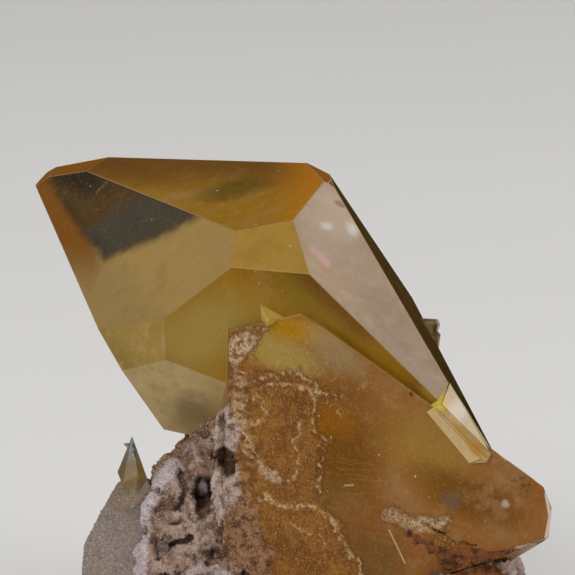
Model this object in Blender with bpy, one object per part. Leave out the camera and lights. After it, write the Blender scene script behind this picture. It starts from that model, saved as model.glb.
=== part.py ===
"""Calcite specimen: grown-together honey calcite crystals and a frosted crystal on a rough matrix.

Front view looks along +Y. X is to the right, Z is up from the flat base. Sizes are in millimetres
and become metres where the meshes are made.
"""

import math

import bmesh
import bpy
from mathutils import Matrix, Vector, noise

MM = 0.001
GAP = 0.3
BLOCK = 200.0
MERGE = 0.001
DOWN = Vector((0.0, 0.0, -1.0))

# Calcite's shape: the height of its cell over its width, as its crystal faces are indexed.
AXIAL_RATIO = 0.8543

# Indices h and k of the six dog-tooth faces at one end; the other end's are their opposites.
NEAR_END = ((2, 1), (3, -1), (1, -3), (-1, -2), (-3, 2), (-2, 3))

# The large crystal: its middle, and how its long axis lies.
MAIN_MIDDLE = Vector((-3.9, 7.1, 43.5))
MAIN_TURN = -43.1
MAIN_LEAN = 113.2
MAIN_SPIN = 11.1

# Faces of the large crystal as Miller indices h, k, l, each with its distance from the middle.
MAIN_FACES = {
    "top": ((-3, 1, -1), 20.1),
    "upper_left": ((-2, -1, -1), 19.3),
    "lower_front": ((-1, -2, 1), 20.2),
    "right": ((-3, 2, 1), 23.2),
    "right_edge": ((-2, 3, 1), 20.7),
    "lower_left": ((1, -3, 1), 19.2),
    "left_behind": ((2, -3, -1), 20.7),
    "top_behind": ((-1, 3, -1), 19.2),
    "right_behind": ((2, 1, 1), 19.3),
    "under_front": ((3, -1, 1), 20.0),
    "back": ((1, 2, -1), 20.0),
    "under_behind": ((3, -2, -1), 20.0),
    "small_middle": ((-1, 0, 0), 22.7),
    "small_left": ((-1, -5, 0), 21.6),
}

# Chips that take off its far tip, its top right corner and its foot: outward direction, a point.
MAIN_CHIPS = (
    ((-0.62, -0.04, 0.78), (-37.9, 40.1, 62.4)),
    ((-0.37, -0.12, 0.92), (-34.4, 40.4, 64.5)),
    ((0.42, -0.07, 0.91), (3.6, 6.4, 67.0)),
    ((0.59, -0.09, 0.80), (5.5, 4.3, 66.2)),
    ((0.76, -0.11, 0.65), (7.5, 2.0, 64.3)),
    ((-0.17, -0.10, -0.98), (-16.9, -1.1, 28.1)),
)

# The front crystal stands parallel to the large one, a little proud of its lower front face.
FRONT_FACE = MAIN_FACES["lower_front"][0]
FRONT_PROUD = 21.6
FRONT_THICK = 20.0
FRONT_CUTS = (
    ((0.58, 0.11, 0.80), (12.9, -21.4, 41.5)),
    ((0.64, 0.20, 0.74), (34.0, -29.4, 27.4)),
    ((0.91, 0.25, 0.33), (37.2, -29.0, 23.3)),
    ((0.98, 0.19, -0.08), (37.7, -29.5, 19.9)),
    ((0.72, 0.00, -0.69), (36.9, -29.0, 16.3)),
    ((0.27, -0.33, -0.90), (30.1, -25.4, 13.3)),
    ((-0.24, 0.04, 0.97), (-3.2, -15.6, 47.1)),
    ((0.48, 0.02, 0.88), (3.5, -16.5, 47.6)),
    ((-0.98, -0.20, 0.02), (-8.3, -15.8, 38.4)),
    ((0.00, 0.00, -1.00), (0.0, 0.0, 4.0)),
)

# Two ridges where the large crystal's right face leaves the front crystal, parallel to both.
RIDGE_FACES = ("lower_front", "right", "right_edge")
RIDGE_REACH = {"right_ridge": (22.2, 24.4, 21.0), "left_ridge": (23.6, 23.4, 21.0)}
RIDGE_ROOT = 17.0
RIDGE_CUTS = (
    ((-0.62, -0.20, 0.76), (22.3, -25.6, 36.7)),
    ((-0.66, -0.65, -0.37), (24.0, -26.8, 31.7)),
    ((-0.03, -0.43, -0.90), (27.6, -29.3, 28.9)),
    ((0.83, -0.27, -0.49), (29.0, -29.2, 29.0)),
)

# The bud on the large crystal's right edge: its middle, its block's faces and a tail under it.
BUD_MIDDLE = Vector((21.6, 7.6, 42.9))
BUD_CUTS = (
    ((0.05, 0.10, 0.99), 1.2),
    ((0.90, -0.10, 0.42), 1.4),
    ((0.92, -0.20, -0.33), 1.2),
    ((-0.80, -0.45, 0.40), 1.3),
    ((-0.20, -0.95, 0.10), 1.1),
    ((0.10, 0.98, -0.15), 1.2),
    ((0.10, -0.30, -0.95), 1.3),
    ((-0.60, 0.20, -0.77), 1.4),
)

# The three-sided tooth at the front crystal's top: a point inside it, then its faces.
TOOTH_MIDDLE = Vector((-2.3, -16.6, 47.6))
TOOTH_CUTS = (
    ((0.37, -0.24, 0.90), 0.6),
    ((-0.94, -0.32, -0.07), 0.8),
    ((0.40, -0.46, -0.80), 0.6),
    ((-0.10, 0.98, -0.10), 2.5),
)

# Small dog-tooth crystals: middle, size, the turn, lean and spin of the long axis, then their
# width as a share of a regular one.
SMALL_ON_MAIN = {
    "bud_tail": (Vector((22.2, 7.2, 41.2)), 0.9, 350.0, 165.0, 20.0, 1.0),
}
SMALL_ON_FROSTED = {
    "dog_tooth": (Vector((-22.95, -12.0, 23.3)), 2.2, 180.0, 1.0, 20.0, 0.84),
    "nub": (Vector((-23.5, -12.0, 28.2)), 0.34, 200.0, 62.0, 0.0, 1.0),
}

# The frosted crystal on the left: outward direction and a point for each of its faces.
FROSTED_MIDDLE = Vector((-25.0, -8.0, 10.0))
FROSTED_CUTS = (
    ((-0.30, -0.93, 0.20), (-25.0, -13.5, 14.0)),
    ((-0.85, 0.17, 0.49), (-26.5, -12.2, 20.6)),
    ((-0.88, 0.16, 0.44), (-29.2, -12.9, 15.8)),
    ((-0.99, 0.11, 0.05), (-30.7, -13.6, 11.0)),
    ((-0.18, 0.33, 0.93), (-22.8, -11.8, 23.2)),
    ((0.20, 0.97, 0.10), (-25.0, 2.0, 10.0)),
    ((1.00, 0.00, 0.00), (-18.0, 0.0, 0.0)),
    ((0.85, 0.00, 0.53), (-19.0, -12.0, 20.0)),
    ((0.00, 0.00, -1.00), (0.0, 0.0, 0.0)),
)

# The matrix: lumps as middle and half sizes, all seen from one point inside it.
ROCK_MIDDLE = Vector((1.0, 0.0, 9.0))
ROCK_LUMPS = (
    (Vector((3.0, 5.0, 4.0)), Vector((30.0, 21.0, 16.0))),
    (Vector((-9.5, -4.0, 15.0)), Vector((6.5, 10.0, 19.5))),
    (Vector((-16.5, -8.0, 8.0)), Vector((7.0, 11.5, 15.0))),
    (Vector((28.0, -20.0, 4.0)), Vector((10.5, 12.0, 12.5))),
    (Vector((-2.0, 13.0, 12.0)), Vector((18.0, 14.0, 17.0))),
    (Vector((0.0, -8.0, 0.0)), Vector((22.0, 13.0, 8.0))),
    (Vector((18.0, -14.0, 0.0)), Vector((18.0, 14.0, 9.0))),
)
ROCK_ROUGH = ((10.0, 2.4), (5.0, 1.8), (2.6, 0.9))
ROCK_PITS = (
    (Vector((-8.3, -13.5, 27.2)), 2.4, 3.0),
    (Vector((-12.6, -18.0, 22.0)), 2.8, 3.0),
    (Vector((-16.7, -19.0, 14.0)), 2.4, 2.0),
    (Vector((-11.2, -17.0, 13.0)), 2.2, 2.0),
    (Vector((27.5, -28.5, 11.5)), 2.2, 1.5),
)
BLEND = 8
ROCK_DETAIL = 5
ROCK_SEED = Vector((3.1, 7.7, 1.3))

# The colours, roughness and see-through share of the pieces.
HONEY = ((0.72, 0.45, 0.14), 0.10, 0.8)
FROST = ((0.50, 0.46, 0.40), 0.75, 0.0)
STONE = ((0.60, 0.47, 0.40), 0.90, 0.0)


def face_direction(h, k, l):
    """Outward direction of a calcite face in the crystal's own axes, its long axis along Z."""
    root = math.sqrt(3.0)
    return Vector((h, (h + 2.0 * k) / root, l / AXIAL_RATIO)).normalized()


def crystal_axes(turn, lean, spin):
    """How a crystal lies: spun about its long axis, leant from upright, then turned about Z."""
    turned = Matrix.Rotation(math.radians(turn), 3, "Z")
    leant = Matrix.Rotation(math.radians(lean), 3, "Y")
    spun = Matrix.Rotation(math.radians(spin), 3, "Z")
    return turned @ leant @ spun


def scalenohedron():
    """Miller indices of the twelve faces of a dog-tooth crystal: six at each end of its long axis."""
    near = [(h, k, 1) for h, k in NEAR_END]
    far = [(-h, -k, -1) for h, k in NEAR_END]
    return near + far


def cut_block(middle, axes, planes, name, collection):
    """A closed crystal: a block cut by planes, each a direction and a distance in its own axes."""
    bm = bmesh.new()
    bmesh.ops.create_cube(bm, size=BLOCK * MM)
    for direction, distance in planes:
        cut = bmesh.ops.bisect_plane(
            bm,
            geom=bm.verts[:] + bm.edges[:] + bm.faces[:],
            dist=MERGE * MM,
            plane_co=direction * distance * MM,
            plane_no=direction,
            clear_outer=True,
        )
        rim = [item for item in cut["geom_cut"] if isinstance(item, bmesh.types.BMEdge)]
        if rim:
            bmesh.ops.edgenet_fill(bm, edges=rim)
    bmesh.ops.remove_doubles(bm, verts=bm.verts, dist=MERGE * MM)
    bmesh.ops.recalc_face_normals(bm, faces=bm.faces)
    mesh = bpy.data.meshes.new(name)
    bm.to_mesh(mesh)
    bm.free()
    piece = bpy.data.objects.new(name, mesh)
    piece.matrix_world = Matrix.Translation(middle * MM) @ axes.to_4x4()
    collection.objects.link(piece)
    return piece


def own_planes(middle, axes, cuts, grow=0.0):
    """Cuts given in the part's axes, as planes in a crystal's own axes, moved outward by grow."""
    planes = []
    for direction, point in cuts:
        outward = Vector(direction).normalized()
        distance = outward.dot(Vector(point) - middle) + grow
        planes.append((axes.transposed() @ outward, distance))
    return planes


def main_crystal(name, collection, grow=0.0):
    """The large crystal, with the distances of its faces and its chips."""
    axes = crystal_axes(MAIN_TURN, MAIN_LEAN, MAIN_SPIN)
    planes = [(face_direction(*face), distance + grow) for face, distance in MAIN_FACES.values()]
    planes += own_planes(MAIN_MIDDLE, axes, MAIN_CHIPS, grow)
    return cut_block(MAIN_MIDDLE, axes, planes, name, collection)


def front_crystal(name, collection, grow=0.0):
    """The broad crystal in front: two faces parallel to the large crystal's, and its other sides."""
    axes = crystal_axes(MAIN_TURN, MAIN_LEAN, MAIN_SPIN)
    facing = face_direction(*FRONT_FACE)
    planes = [(facing, FRONT_PROUD + grow), (-facing, FRONT_THICK - FRONT_PROUD + grow)]
    planes += own_planes(MAIN_MIDDLE, axes, FRONT_CUTS, grow)
    return cut_block(MAIN_MIDDLE, axes, planes, name, collection)


def ridge(name, collection):
    """A ridge parallel to the large crystal: three crystal faces and its two ends."""
    axes = crystal_axes(MAIN_TURN, MAIN_LEAN, MAIN_SPIN)
    faces = [MAIN_FACES[face][0] for face in RIDGE_FACES]
    planes = [(face_direction(*face), reach) for face, reach in zip(faces, RIDGE_REACH[name])]
    planes.append((-face_direction(*FRONT_FACE), -RIDGE_ROOT))
    planes += own_planes(MAIN_MIDDLE, axes, RIDGE_CUTS)
    return cut_block(MAIN_MIDDLE, axes, planes, name, collection)


def chip(middle, cuts, name, collection):
    """A blocky little crystal from a point inside it and its faces' directions and distances."""
    planes = [(Vector(direction).normalized(), distance) for direction, distance in cuts]
    return cut_block(middle, Matrix.Identity(3), planes, name, collection)


def small_crystal(placing, name, collection, grow=0.0):
    """A small dog-tooth crystal from its middle, size, turn, lean, spin and width."""
    middle, size, turn, lean, spin, width = placing
    planes = []
    for face in scalenohedron():
        regular = face_direction(*face)
        steep = Vector((regular.x / width, regular.y / width, regular.z))
        planes.append((steep.normalized(), size / steep.length + grow))
    return cut_block(middle, crystal_axes(turn, lean, spin), planes, name, collection)


def frosted_block(name, collection, grow=0.0):
    """The broad frosted crystal on the left, standing on the base."""
    axes = Matrix.Identity(3)
    planes = own_planes(FROSTED_MIDDLE, axes, FROSTED_CUTS, grow)
    return cut_block(FROSTED_MIDDLE, axes, planes, name, collection)


def lump_reach(direction, middle, half_sizes):
    """How far a lump reaches from the rock's middle in a direction, or 0 where it isn't met."""
    across = Vector((d / s for d, s in zip(direction, half_sizes)))
    offset = Vector(((r - m) / s for r, m, s in zip(ROCK_MIDDLE, middle, half_sizes)))
    a = across.dot(across)
    b = across.dot(offset)
    inside = b * b - a * (offset.dot(offset) - 1.0)
    if inside <= 0.0:
        return 0.0
    return max(0.0, (math.sqrt(inside) - b) / a)


def rock_point(direction):
    """A point of the matrix's surface: the lumps blended, roughened, with its pits sunk in."""
    reaches = [lump_reach(direction, middle, halves) for middle, halves in ROCK_LUMPS]
    reach = sum(r ** BLEND for r in reaches) ** (1.0 / BLEND)
    point = ROCK_MIDDLE + direction * reach
    for scale, height in ROCK_ROUGH:
        reach += height * noise.noise(point / scale + ROCK_SEED)
    for pit, radius, depth in ROCK_PITS:
        reach -= depth * math.exp(-(((point - pit).length / radius) ** 2))
    return ROCK_MIDDLE + direction * reach


def matrix_lump(name, collection):
    """The rough matrix with its flat base, before the crystals are cut out of it."""
    bm = bmesh.new()
    bmesh.ops.create_icosphere(bm, subdivisions=ROCK_DETAIL, radius=1.0)
    for vert in bm.verts:
        vert.co = rock_point(vert.co.normalized()) * MM
    cut = bmesh.ops.bisect_plane(
        bm,
        geom=bm.verts[:] + bm.edges[:] + bm.faces[:],
        dist=MERGE * MM,
        plane_co=Vector(),
        plane_no=DOWN,
        clear_outer=True,
    )
    rim = [item for item in cut["geom_cut"] if isinstance(item, bmesh.types.BMEdge)]
    bmesh.ops.edgenet_fill(bm, edges=rim)
    bmesh.ops.recalc_face_normals(bm, faces=bm.faces)
    mesh = bpy.data.meshes.new(name)
    bm.to_mesh(mesh)
    bm.free()
    piece = bpy.data.objects.new(name, mesh)
    collection.objects.link(piece)
    return piece


def join_or_cut(piece, tools, operation):
    """Unites a piece with its tools, or cuts them out of it, by Boolean modifiers."""
    for tool in tools:
        tool.hide_render = True
        tool.display_type = "WIRE"
        boolean = piece.modifiers.new(tool.name, "BOOLEAN")
        boolean.operation = operation
        boolean.solver = "EXACT"
        boolean.object = tool


def set_material(piece, look):
    """Gives a piece its Principled material from a colour, a roughness and a see-through share."""
    colour, roughness, clear = look
    material = bpy.data.materials.new(piece.name)
    material.use_nodes = True
    shader = material.node_tree.nodes["Principled BSDF"]
    shader.inputs["Base Color"].default_value = (*colour, 1.0)
    shader.inputs["Roughness"].default_value = roughness
    shader.inputs["Metallic"].default_value = 0.0
    shader.inputs["Transmission Weight"].default_value = clear
    piece.data.materials.append(material)


def new_collection(name):
    """A collection of its own in the scene."""
    collection = bpy.data.collections.new(name)
    bpy.context.scene.collection.children.link(collection)
    return collection


def stand_on_origin(specimen, pieces):
    """Moves the whole specimen so that the middle of its box's underside is the origin."""
    bpy.context.view_layer.update()
    graph = bpy.context.evaluated_depsgraph_get()
    corners = []
    for piece in pieces:
        ready = piece.evaluated_get(graph)
        corners += [ready.matrix_world @ vert.co for vert in ready.data.vertices]
    low = Vector([min(c[axis] for c in corners) for axis in range(3)])
    high = Vector([max(c[axis] for c in corners) for axis in range(3)])
    middle = (low + high) / 2.0
    specimen.location = (-middle.x, -middle.y, -low.z)
    bpy.context.view_layer.update()


def main():
    """Builds the specimen from nothing."""
    for item in list(bpy.data.objects):
        bpy.data.objects.remove(item)
    parts = new_collection("calcite_specimen")
    tools = new_collection("cutters")

    crystals = main_crystal("calcite_crystals", parts)
    grown = [front_crystal("front_crystal", tools)]
    grown.append(chip(BUD_MIDDLE, BUD_CUTS, "bud", tools))
    grown.append(chip(TOOTH_MIDDLE, TOOTH_CUTS, "tooth", tools))
    grown += [ridge(name, tools) for name in RIDGE_REACH]
    grown += [small_crystal(p, n, tools) for n, p in SMALL_ON_MAIN.items()]
    join_or_cut(crystals, grown, "UNION")

    frosted = frosted_block("frosted_crystal", parts)
    teeth = [small_crystal(p, n, tools) for n, p in SMALL_ON_FROSTED.items()]
    join_or_cut(frosted, teeth, "UNION")

    rock = matrix_lump("matrix", parts)
    room = [main_crystal("main_room", tools, GAP)]
    room.append(front_crystal("front_room", tools, GAP))
    room.append(frosted_block("frosted_room", tools, GAP))
    room += [small_crystal(p, n + "_room", tools, GAP) for n, p in SMALL_ON_FROSTED.items()]
    join_or_cut(rock, room, "DIFFERENCE")

    specimen = bpy.data.objects.new("specimen", None)
    parts.objects.link(specimen)
    for item in parts.objects[:] + tools.objects[:]:
        if item is not specimen:
            item.parent = specimen
    set_material(crystals, HONEY)
    set_material(frosted, FROST)
    set_material(rock, STONE)
    stand_on_origin(specimen, (crystals, frosted, rock))


main()
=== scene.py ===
"""Calcite specimen: honey crystals with a frosted crystal beside them, on a porous matrix.

Lengths are in metres unless a name or comment says otherwise. The front plane stands upright to
the line of sight through the middle of the specimen. Places on it are (across, down) in steps of
0.15 mm from its upper left corner.
"""

import math

import bmesh
import bpy
import numpy as np
from mathutils import Matrix, Vector, noise
from mathutils.bvhtree import BVHTree


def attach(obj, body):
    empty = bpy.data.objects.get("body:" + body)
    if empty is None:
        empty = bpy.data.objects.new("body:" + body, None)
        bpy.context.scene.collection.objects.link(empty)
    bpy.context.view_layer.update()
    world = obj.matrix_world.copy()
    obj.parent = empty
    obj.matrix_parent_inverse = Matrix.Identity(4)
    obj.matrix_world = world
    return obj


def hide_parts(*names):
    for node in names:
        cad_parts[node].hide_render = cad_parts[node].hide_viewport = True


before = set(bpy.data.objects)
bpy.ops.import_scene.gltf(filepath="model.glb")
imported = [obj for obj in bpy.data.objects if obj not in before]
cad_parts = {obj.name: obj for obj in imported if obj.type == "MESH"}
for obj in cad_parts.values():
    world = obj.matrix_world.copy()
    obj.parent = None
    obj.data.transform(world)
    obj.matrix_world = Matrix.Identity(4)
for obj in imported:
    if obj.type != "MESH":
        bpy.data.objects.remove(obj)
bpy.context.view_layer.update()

bl_info = {
    "name": "Calcite specimen",
    "version": (1, 0, 0),
    "blender": (4, 5, 0),
    "location": "View3D > Sidebar > Calcite",
    "description": "Builds a honey calcite specimen on its matrix",
    "category": "Add Mesh",
}

MM = 0.001

# The front plane and the eye that looks at it.
STEP = 0.15 * MM
HALF_STEPS = 287.5
PLANE_MIDDLE = Vector((-0.355, -4.507, 50.0)) * MM
VIEW_DOWN = math.radians(8.0)
VIEW_DISTANCE = 0.8
FORWARD = Vector((0.0, math.cos(VIEW_DOWN), -math.sin(VIEW_DOWN)))
UPWARD = Vector((0.0, math.sin(VIEW_DOWN), math.cos(VIEW_DOWN)))
EYE = PLANE_MIDDLE - FORWARD * VIEW_DISTANCE
FAR_AWAY = 1e9

# How the large crystal lies, as in the source of the solids.
SHIFT = Vector((-0.355, -4.507, 0.0))
AXIAL_RATIO = 0.8543
MAIN_MIDDLE = Vector((-3.9, 7.1, 43.5)) + SHIFT
MAIN_AXES = (-43.1, 113.2, 11.1)
NEAR_END = ((2, 1), (3, -1), (1, -3), (-1, -2), (-3, 2), (-2, 3))
BUD_MIDDLE = Vector((21.6, 7.6, 42.9)) + SHIFT
TOOTH_MIDDLE = Vector((-2.3, -16.6, 47.6)) + SHIFT
CHIP_REACH = 3.2
RIDGE_MIDDLE = Vector((25.3, -27.0, 33.5)) + SHIFT
RIDGE_REACH = 7.0
FRONT_PROUD = 21.6

# Facets of the honey crystals: Miller indices, distance in mm from the middle, and a colour.
# Each colour is the facet's tone with painted light and shade in it, lighter or darker as the facet is lit.
FACETS = {
    "top": ((-3, 1, -1), 20.1, (0.366, 0.173, 0.001)),
    "upper_left": ((-2, -1, -1), 19.3, (0.596, 0.401, 0.133)),
    "lower_front": ((-1, -2, 1), 20.2, (0.393, 0.200, 0.003)),
    "right": ((-3, 2, 1), 23.2, (0.332, 0.161, 0.042)),
    "right_edge": ((-2, 3, 1), 20.7, (0.062, 0.032, 0.005)),
    "lower_left": ((1, -3, 1), 19.2, (0.827, 0.687, 0.331)),
    "left_behind": ((2, -3, -1), 20.7, (0.570, 0.285, 0.057)),
    "top_behind": ((-1, 3, -1), 19.2, (0.570, 0.285, 0.057)),
    "right_behind": ((2, 1, 1), 19.3, (0.532, 0.285, 0.057)),
    "under_front": ((3, -1, 1), 20.0, (0.532, 0.285, 0.057)),
    "back": ((1, 2, -1), 20.0, (0.570, 0.304, 0.057)),
    "under_behind": ((3, -2, -1), 20.0, (0.532, 0.285, 0.057)),
    "small_middle": ((-1, 0, 0), 22.7, (0.684, 0.429, 0.082)),
    "small_left": ((-1, -5, 0), 21.6, (0.510, 0.360, 0.082)),
    "front_face": ((-1, -2, 1), 21.6, (0.315, 0.117, 0.029)),
    "right_ridge_front": ((-1, -2, 1), 22.2, (0.486, 0.344, 0.116)),
    "left_ridge_front": ((-1, -2, 1), 23.6, (0.960, 0.960, 0.960)),
    "right_ridge_right": ((-3, 2, 1), 24.4, (0.800, 0.620, 0.400)),
    "left_ridge_right": ((-3, 2, 1), 23.4, (0.800, 0.500, 0.180)),
    "ridge_edge": ((-2, 3, 1), 21.0, (0.570, 0.323, 0.076)),
}
OTHER_FACETS = {
    "side": (0.500, 0.250, 0.040),
    "ridge_end": (0.874, 0.622, 0.300),
    "bud": (0.337, 0.224, 0.098),
    "tooth": (0.672, 0.469, 0.081),
    "edge": (0.620, 0.420, 0.150),
}
FACET_NAMES = list(FACETS) + list(OTHER_FACETS)

# The frosted crystal and its dog-tooth crystal, as in the source of the solids, in mm.
FROSTED_CUTS = (
    ((-0.30, -0.93, 0.20), (-25.0, -13.5, 14.0)),
    ((-0.85, 0.17, 0.49), (-26.5, -12.2, 20.6)),
    ((-0.88, 0.16, 0.44), (-29.2, -12.9, 15.8)),
    ((-0.99, 0.11, 0.05), (-30.7, -13.6, 11.0)),
    ((-0.18, 0.33, 0.93), (-22.8, -11.8, 23.2)),
    ((0.20, 0.97, 0.10), (-25.0, 2.0, 10.0)),
    ((1.00, 0.00, 0.00), (-18.0, 0.0, 0.0)),
    ((0.85, 0.00, 0.53), (-19.0, -12.0, 20.0)),
    ((0.00, 0.00, -1.00), (0.0, 0.0, 0.0)),
)
DOG_TOOTH = (Vector((-22.95, -12.0, 23.3)), 2.2, (180.0, 1.0, 20.0))
NUB = (Vector((-23.6, -12.0, 28.0)), 0.32, (200.0, 66.0, 0.0))
BLOCK = 200.0

# Vertices nearer to each other than this are one, in the solids and in a crystal cut from a block.
CAD_MERGE = 2e-6
CUT_MERGE = 1e-6

# Neighbouring faces that turn by less than this are one.
FLAT_ANGLE = math.radians(0.2)


# Directions and places


def face_direction(h, k, l):
    """Outward direction of a calcite face in the crystal's own axes."""
    return Vector((h, (h + 2.0 * k) / math.sqrt(3.0), l / AXIAL_RATIO)).normalized()


def crystal_axes(turn, lean, spin):
    """How a crystal lies: spun about its long axis, leant from upright, then turned about Z."""
    turned = Matrix.Rotation(math.radians(turn), 3, "Z")
    leant = Matrix.Rotation(math.radians(lean), 3, "Y")
    return turned @ leant @ Matrix.Rotation(math.radians(spin), 3, "Z")


def front_steps(points):
    """Where points, as rows of x, y and z, stand on the front plane: across and down."""
    offset = points - np.array(PLANE_MIDDLE)
    scale = VIEW_DISTANCE / (VIEW_DISTANCE + offset @ np.array(FORWARD)) / STEP
    return HALF_STEPS + offset[:, 0] * scale, HALF_STEPS - offset @ np.array(UPWARD) * scale


def under_steps(across, down, normal, point):
    """Points of a flat face that lie behind places on the front plane."""
    right = (across - HALF_STEPS) * STEP / VIEW_DISTANCE
    up = (HALF_STEPS - down) * STEP / VIEW_DISTANCE
    rays = np.array(FORWARD) + right[:, None] * np.array((1.0, 0.0, 0.0)) + up[:, None] * np.array(UPWARD)
    reach = (point - EYE).dot(normal) / (rays @ np.array(normal))
    return np.array(EYE) + rays * reach[:, None]


def facing_eye(outward, low, high):
    """1 where a surface faces the eye more than high, 0 where less than low."""
    return ramp(-(outward @ np.array(FORWARD)), low, high)


def ramp(value, low, high):
    """0 below low, 1 above high, and smooth between them. It falls where low is above high."""
    share = np.clip((value - low) / (high - low), 0.0, 1.0)
    return share * share * (3.0 - 2.0 * share)


def from_stretch(across, down, start, end):
    """Distance of places on the front plane from the straight stretch between two others."""
    dx, dy = end[0] - start[0], end[1] - start[1]
    x, y = across - start[0], down - start[1]
    along = np.clip((x * dx + y * dy) / (dx * dx + dy * dy), 0.0, 1.0)
    return np.hypot(x - along * dx, y - along * dy)


def near_line(across, down, line, half_width, soft):
    """1 along a line through places on the front plane, 0 away from it."""
    distance = np.full(across.shape, FAR_AWAY)
    for start, end in zip(line, line[1:]):
        distance = np.minimum(distance, from_stretch(across, down, start, end))
    return ramp(distance, half_width + soft, half_width)


def in_oval(across, down, middle, halves, soft=0.4):
    """1 inside an oval on the front plane, 0 outside it; soft is a share of its size."""
    distance = np.hypot((across - middle[0]) / halves[0], (down - middle[1]) / halves[1])
    return ramp(distance, 1.0 + soft, 1.0 - soft)


def in_outline(across, down, corners, soft):
    """1 inside a closed outline on the front plane, 0 outside it, with a soft edge."""
    inside = np.zeros(across.shape, bool)
    distance = np.full(across.shape, FAR_AWAY)
    for start, end in zip(corners, corners[1:] + corners[:1]):
        (x0, y0), (x1, y1) = start, end
        crosses = (y0 > down) != (y1 > down)
        if y1 != y0:
            inside ^= crosses & (across < (x1 - x0) * (down - y0) / (y1 - y0) + x0)
        distance = np.minimum(distance, from_stretch(across, down, start, end))
    return ramp(np.where(inside, distance, -distance), -soft, soft)


def noise_at(points, size, seed):
    """Smooth noise from -1 to 1 at points, with bumps of a size in metres."""
    shift = Vector((seed * 3.7, seed * 1.9, seed * 5.3))
    return np.array([noise.noise(Vector(point) / size + shift) for point in points])


def cells_at(points, size, seed):
    """Distance to the nearest of scattered points, as a share of their spacing, and a number per cell."""
    shift = Vector((seed * 2.3, seed * 4.1, seed * 1.7))
    distances = []
    picks = []
    for point in points:
        near, places = noise.voronoi(Vector(point) / size + shift)
        distances.append(near[0])
        picks.append(noise.cell(places[0] * 7.3))
    return np.array(distances), np.array(picks)


# Meshes


def new_piece(name, mesh, material=None):
    """An object in the scene from a finished mesh."""
    piece = bpy.data.objects.new(name, mesh)
    bpy.context.scene.collection.objects.link(piece)
    if material is not None:
        mesh.materials.clear()
        mesh.materials.append(material)
    return piece


def mesh_from(bm, name):
    """A mesh from a bmesh, which is then freed."""
    mesh = bpy.data.meshes.new(name)
    bm.to_mesh(mesh)
    bm.free()
    return mesh


def merged_copy(node):
    """A CAD node's mesh as a bmesh with its doubles merged and its flat faces whole."""
    bm = bmesh.new()
    bm.from_mesh(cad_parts[node].data)
    bmesh.ops.remove_doubles(bm, verts=bm.verts, dist=CAD_MERGE)
    bmesh.ops.dissolve_limit(bm, angle_limit=FLAT_ANGLE, verts=bm.verts, edges=bm.edges)
    return bm


def cut_solid(middle, axes, planes):
    """A closed crystal as a bmesh: a block cut by planes, in mm and its own axes."""
    bm = bmesh.new()
    bmesh.ops.create_cube(bm, size=BLOCK * MM)
    for direction, distance in planes:
        cut = bmesh.ops.bisect_plane(
            bm,
            geom=bm.verts[:] + bm.edges[:] + bm.faces[:],
            dist=CUT_MERGE,
            plane_co=direction * distance * MM,
            plane_no=direction,
            clear_outer=True,
        )
        rim = [item for item in cut["geom_cut"] if isinstance(item, bmesh.types.BMEdge)]
        if rim:
            bmesh.ops.edgenet_fill(bm, edges=rim)
    bmesh.ops.remove_doubles(bm, verts=bm.verts, dist=CUT_MERGE)
    bmesh.ops.recalc_face_normals(bm, faces=bm.faces)
    bmesh.ops.transform(bm, matrix=Matrix.Translation(middle * MM) @ axes.to_4x4(), verts=bm.verts)
    return bm


def small_crystal(placing, slender=1.0):
    """A small dog-tooth crystal from its middle, size, and how its long axis lies."""
    middle, size, lie = placing
    planes = [(face_direction(h, k, 1), size) for h, k in NEAR_END]
    planes += [(face_direction(-h, -k, -1), size) for h, k in NEAR_END]
    bm = cut_solid(Vector((0.0, 0.0, 0.0)), Matrix.Diagonal((slender, slender, 1.0)), planes)
    placed = Matrix.Translation((middle + SHIFT) * MM) @ crystal_axes(*lie).to_4x4()
    bmesh.ops.transform(bm, matrix=placed, verts=bm.verts)
    return bm


def evened(mesh, spacing, name):
    """A mesh remade with evenly spaced vertices, by a voxel Remesh."""
    rough = bpy.data.objects.new(name + "_rough", mesh)
    bpy.context.scene.collection.objects.link(rough)
    remesh = rough.modifiers.new("even", "REMESH")
    remesh.mode = "VOXEL"
    remesh.voxel_size = spacing
    remesh.use_smooth_shade = True
    graph = bpy.context.evaluated_depsgraph_get()
    even = bpy.data.meshes.new_from_object(rough.evaluated_get(graph))
    even.name = name
    bpy.data.objects.remove(rough)
    return even


def vertex_arrays(mesh):
    """The places and the outward directions of a mesh's vertices, as rows."""
    places = np.empty(len(mesh.vertices) * 3)
    mesh.vertices.foreach_get("co", places)
    outward = np.empty(len(mesh.vertices) * 3)
    mesh.vertex_normals.foreach_get("vector", outward)
    return places.reshape(-1, 3), outward.reshape(-1, 3)


def move_vertices(mesh, places):
    """Puts a mesh's vertices at new places."""
    mesh.vertices.foreach_set("co", places.ravel())
    mesh.update()


def mark(mesh, name, values):
    """Keeps a number per vertex, which the material and the scattered grains read."""
    layer = mesh.attributes.new(name, "FLOAT", "POINT")
    layer.data.foreach_set("value", np.asarray(values, dtype=np.float32))


# Materials


class Value:
    """A number, colour or vector worked out by a material's nodes."""

    def __init__(self, nodes, socket):
        self.nodes = nodes
        self.socket = socket

    def math(self, operation, *others):
        inputs = dict(enumerate((self, *others)))
        return self.nodes.node("ShaderNodeMath", {"operation": operation}, inputs)

    def __add__(self, other):
        return self.math("ADD", other)

    __radd__ = __add__

    def __sub__(self, other):
        return self.math("SUBTRACT", other)

    def __rsub__(self, other):
        return (self * -1.0) + other

    def __mul__(self, other):
        return self.math("MULTIPLY", other)

    __rmul__ = __mul__

    def __truediv__(self, other):
        return self.math("DIVIDE", other)

    def __rtruediv__(self, other):
        return self.math("POWER", -1.0) * other

    def __neg__(self):
        return self * -1.0


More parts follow.
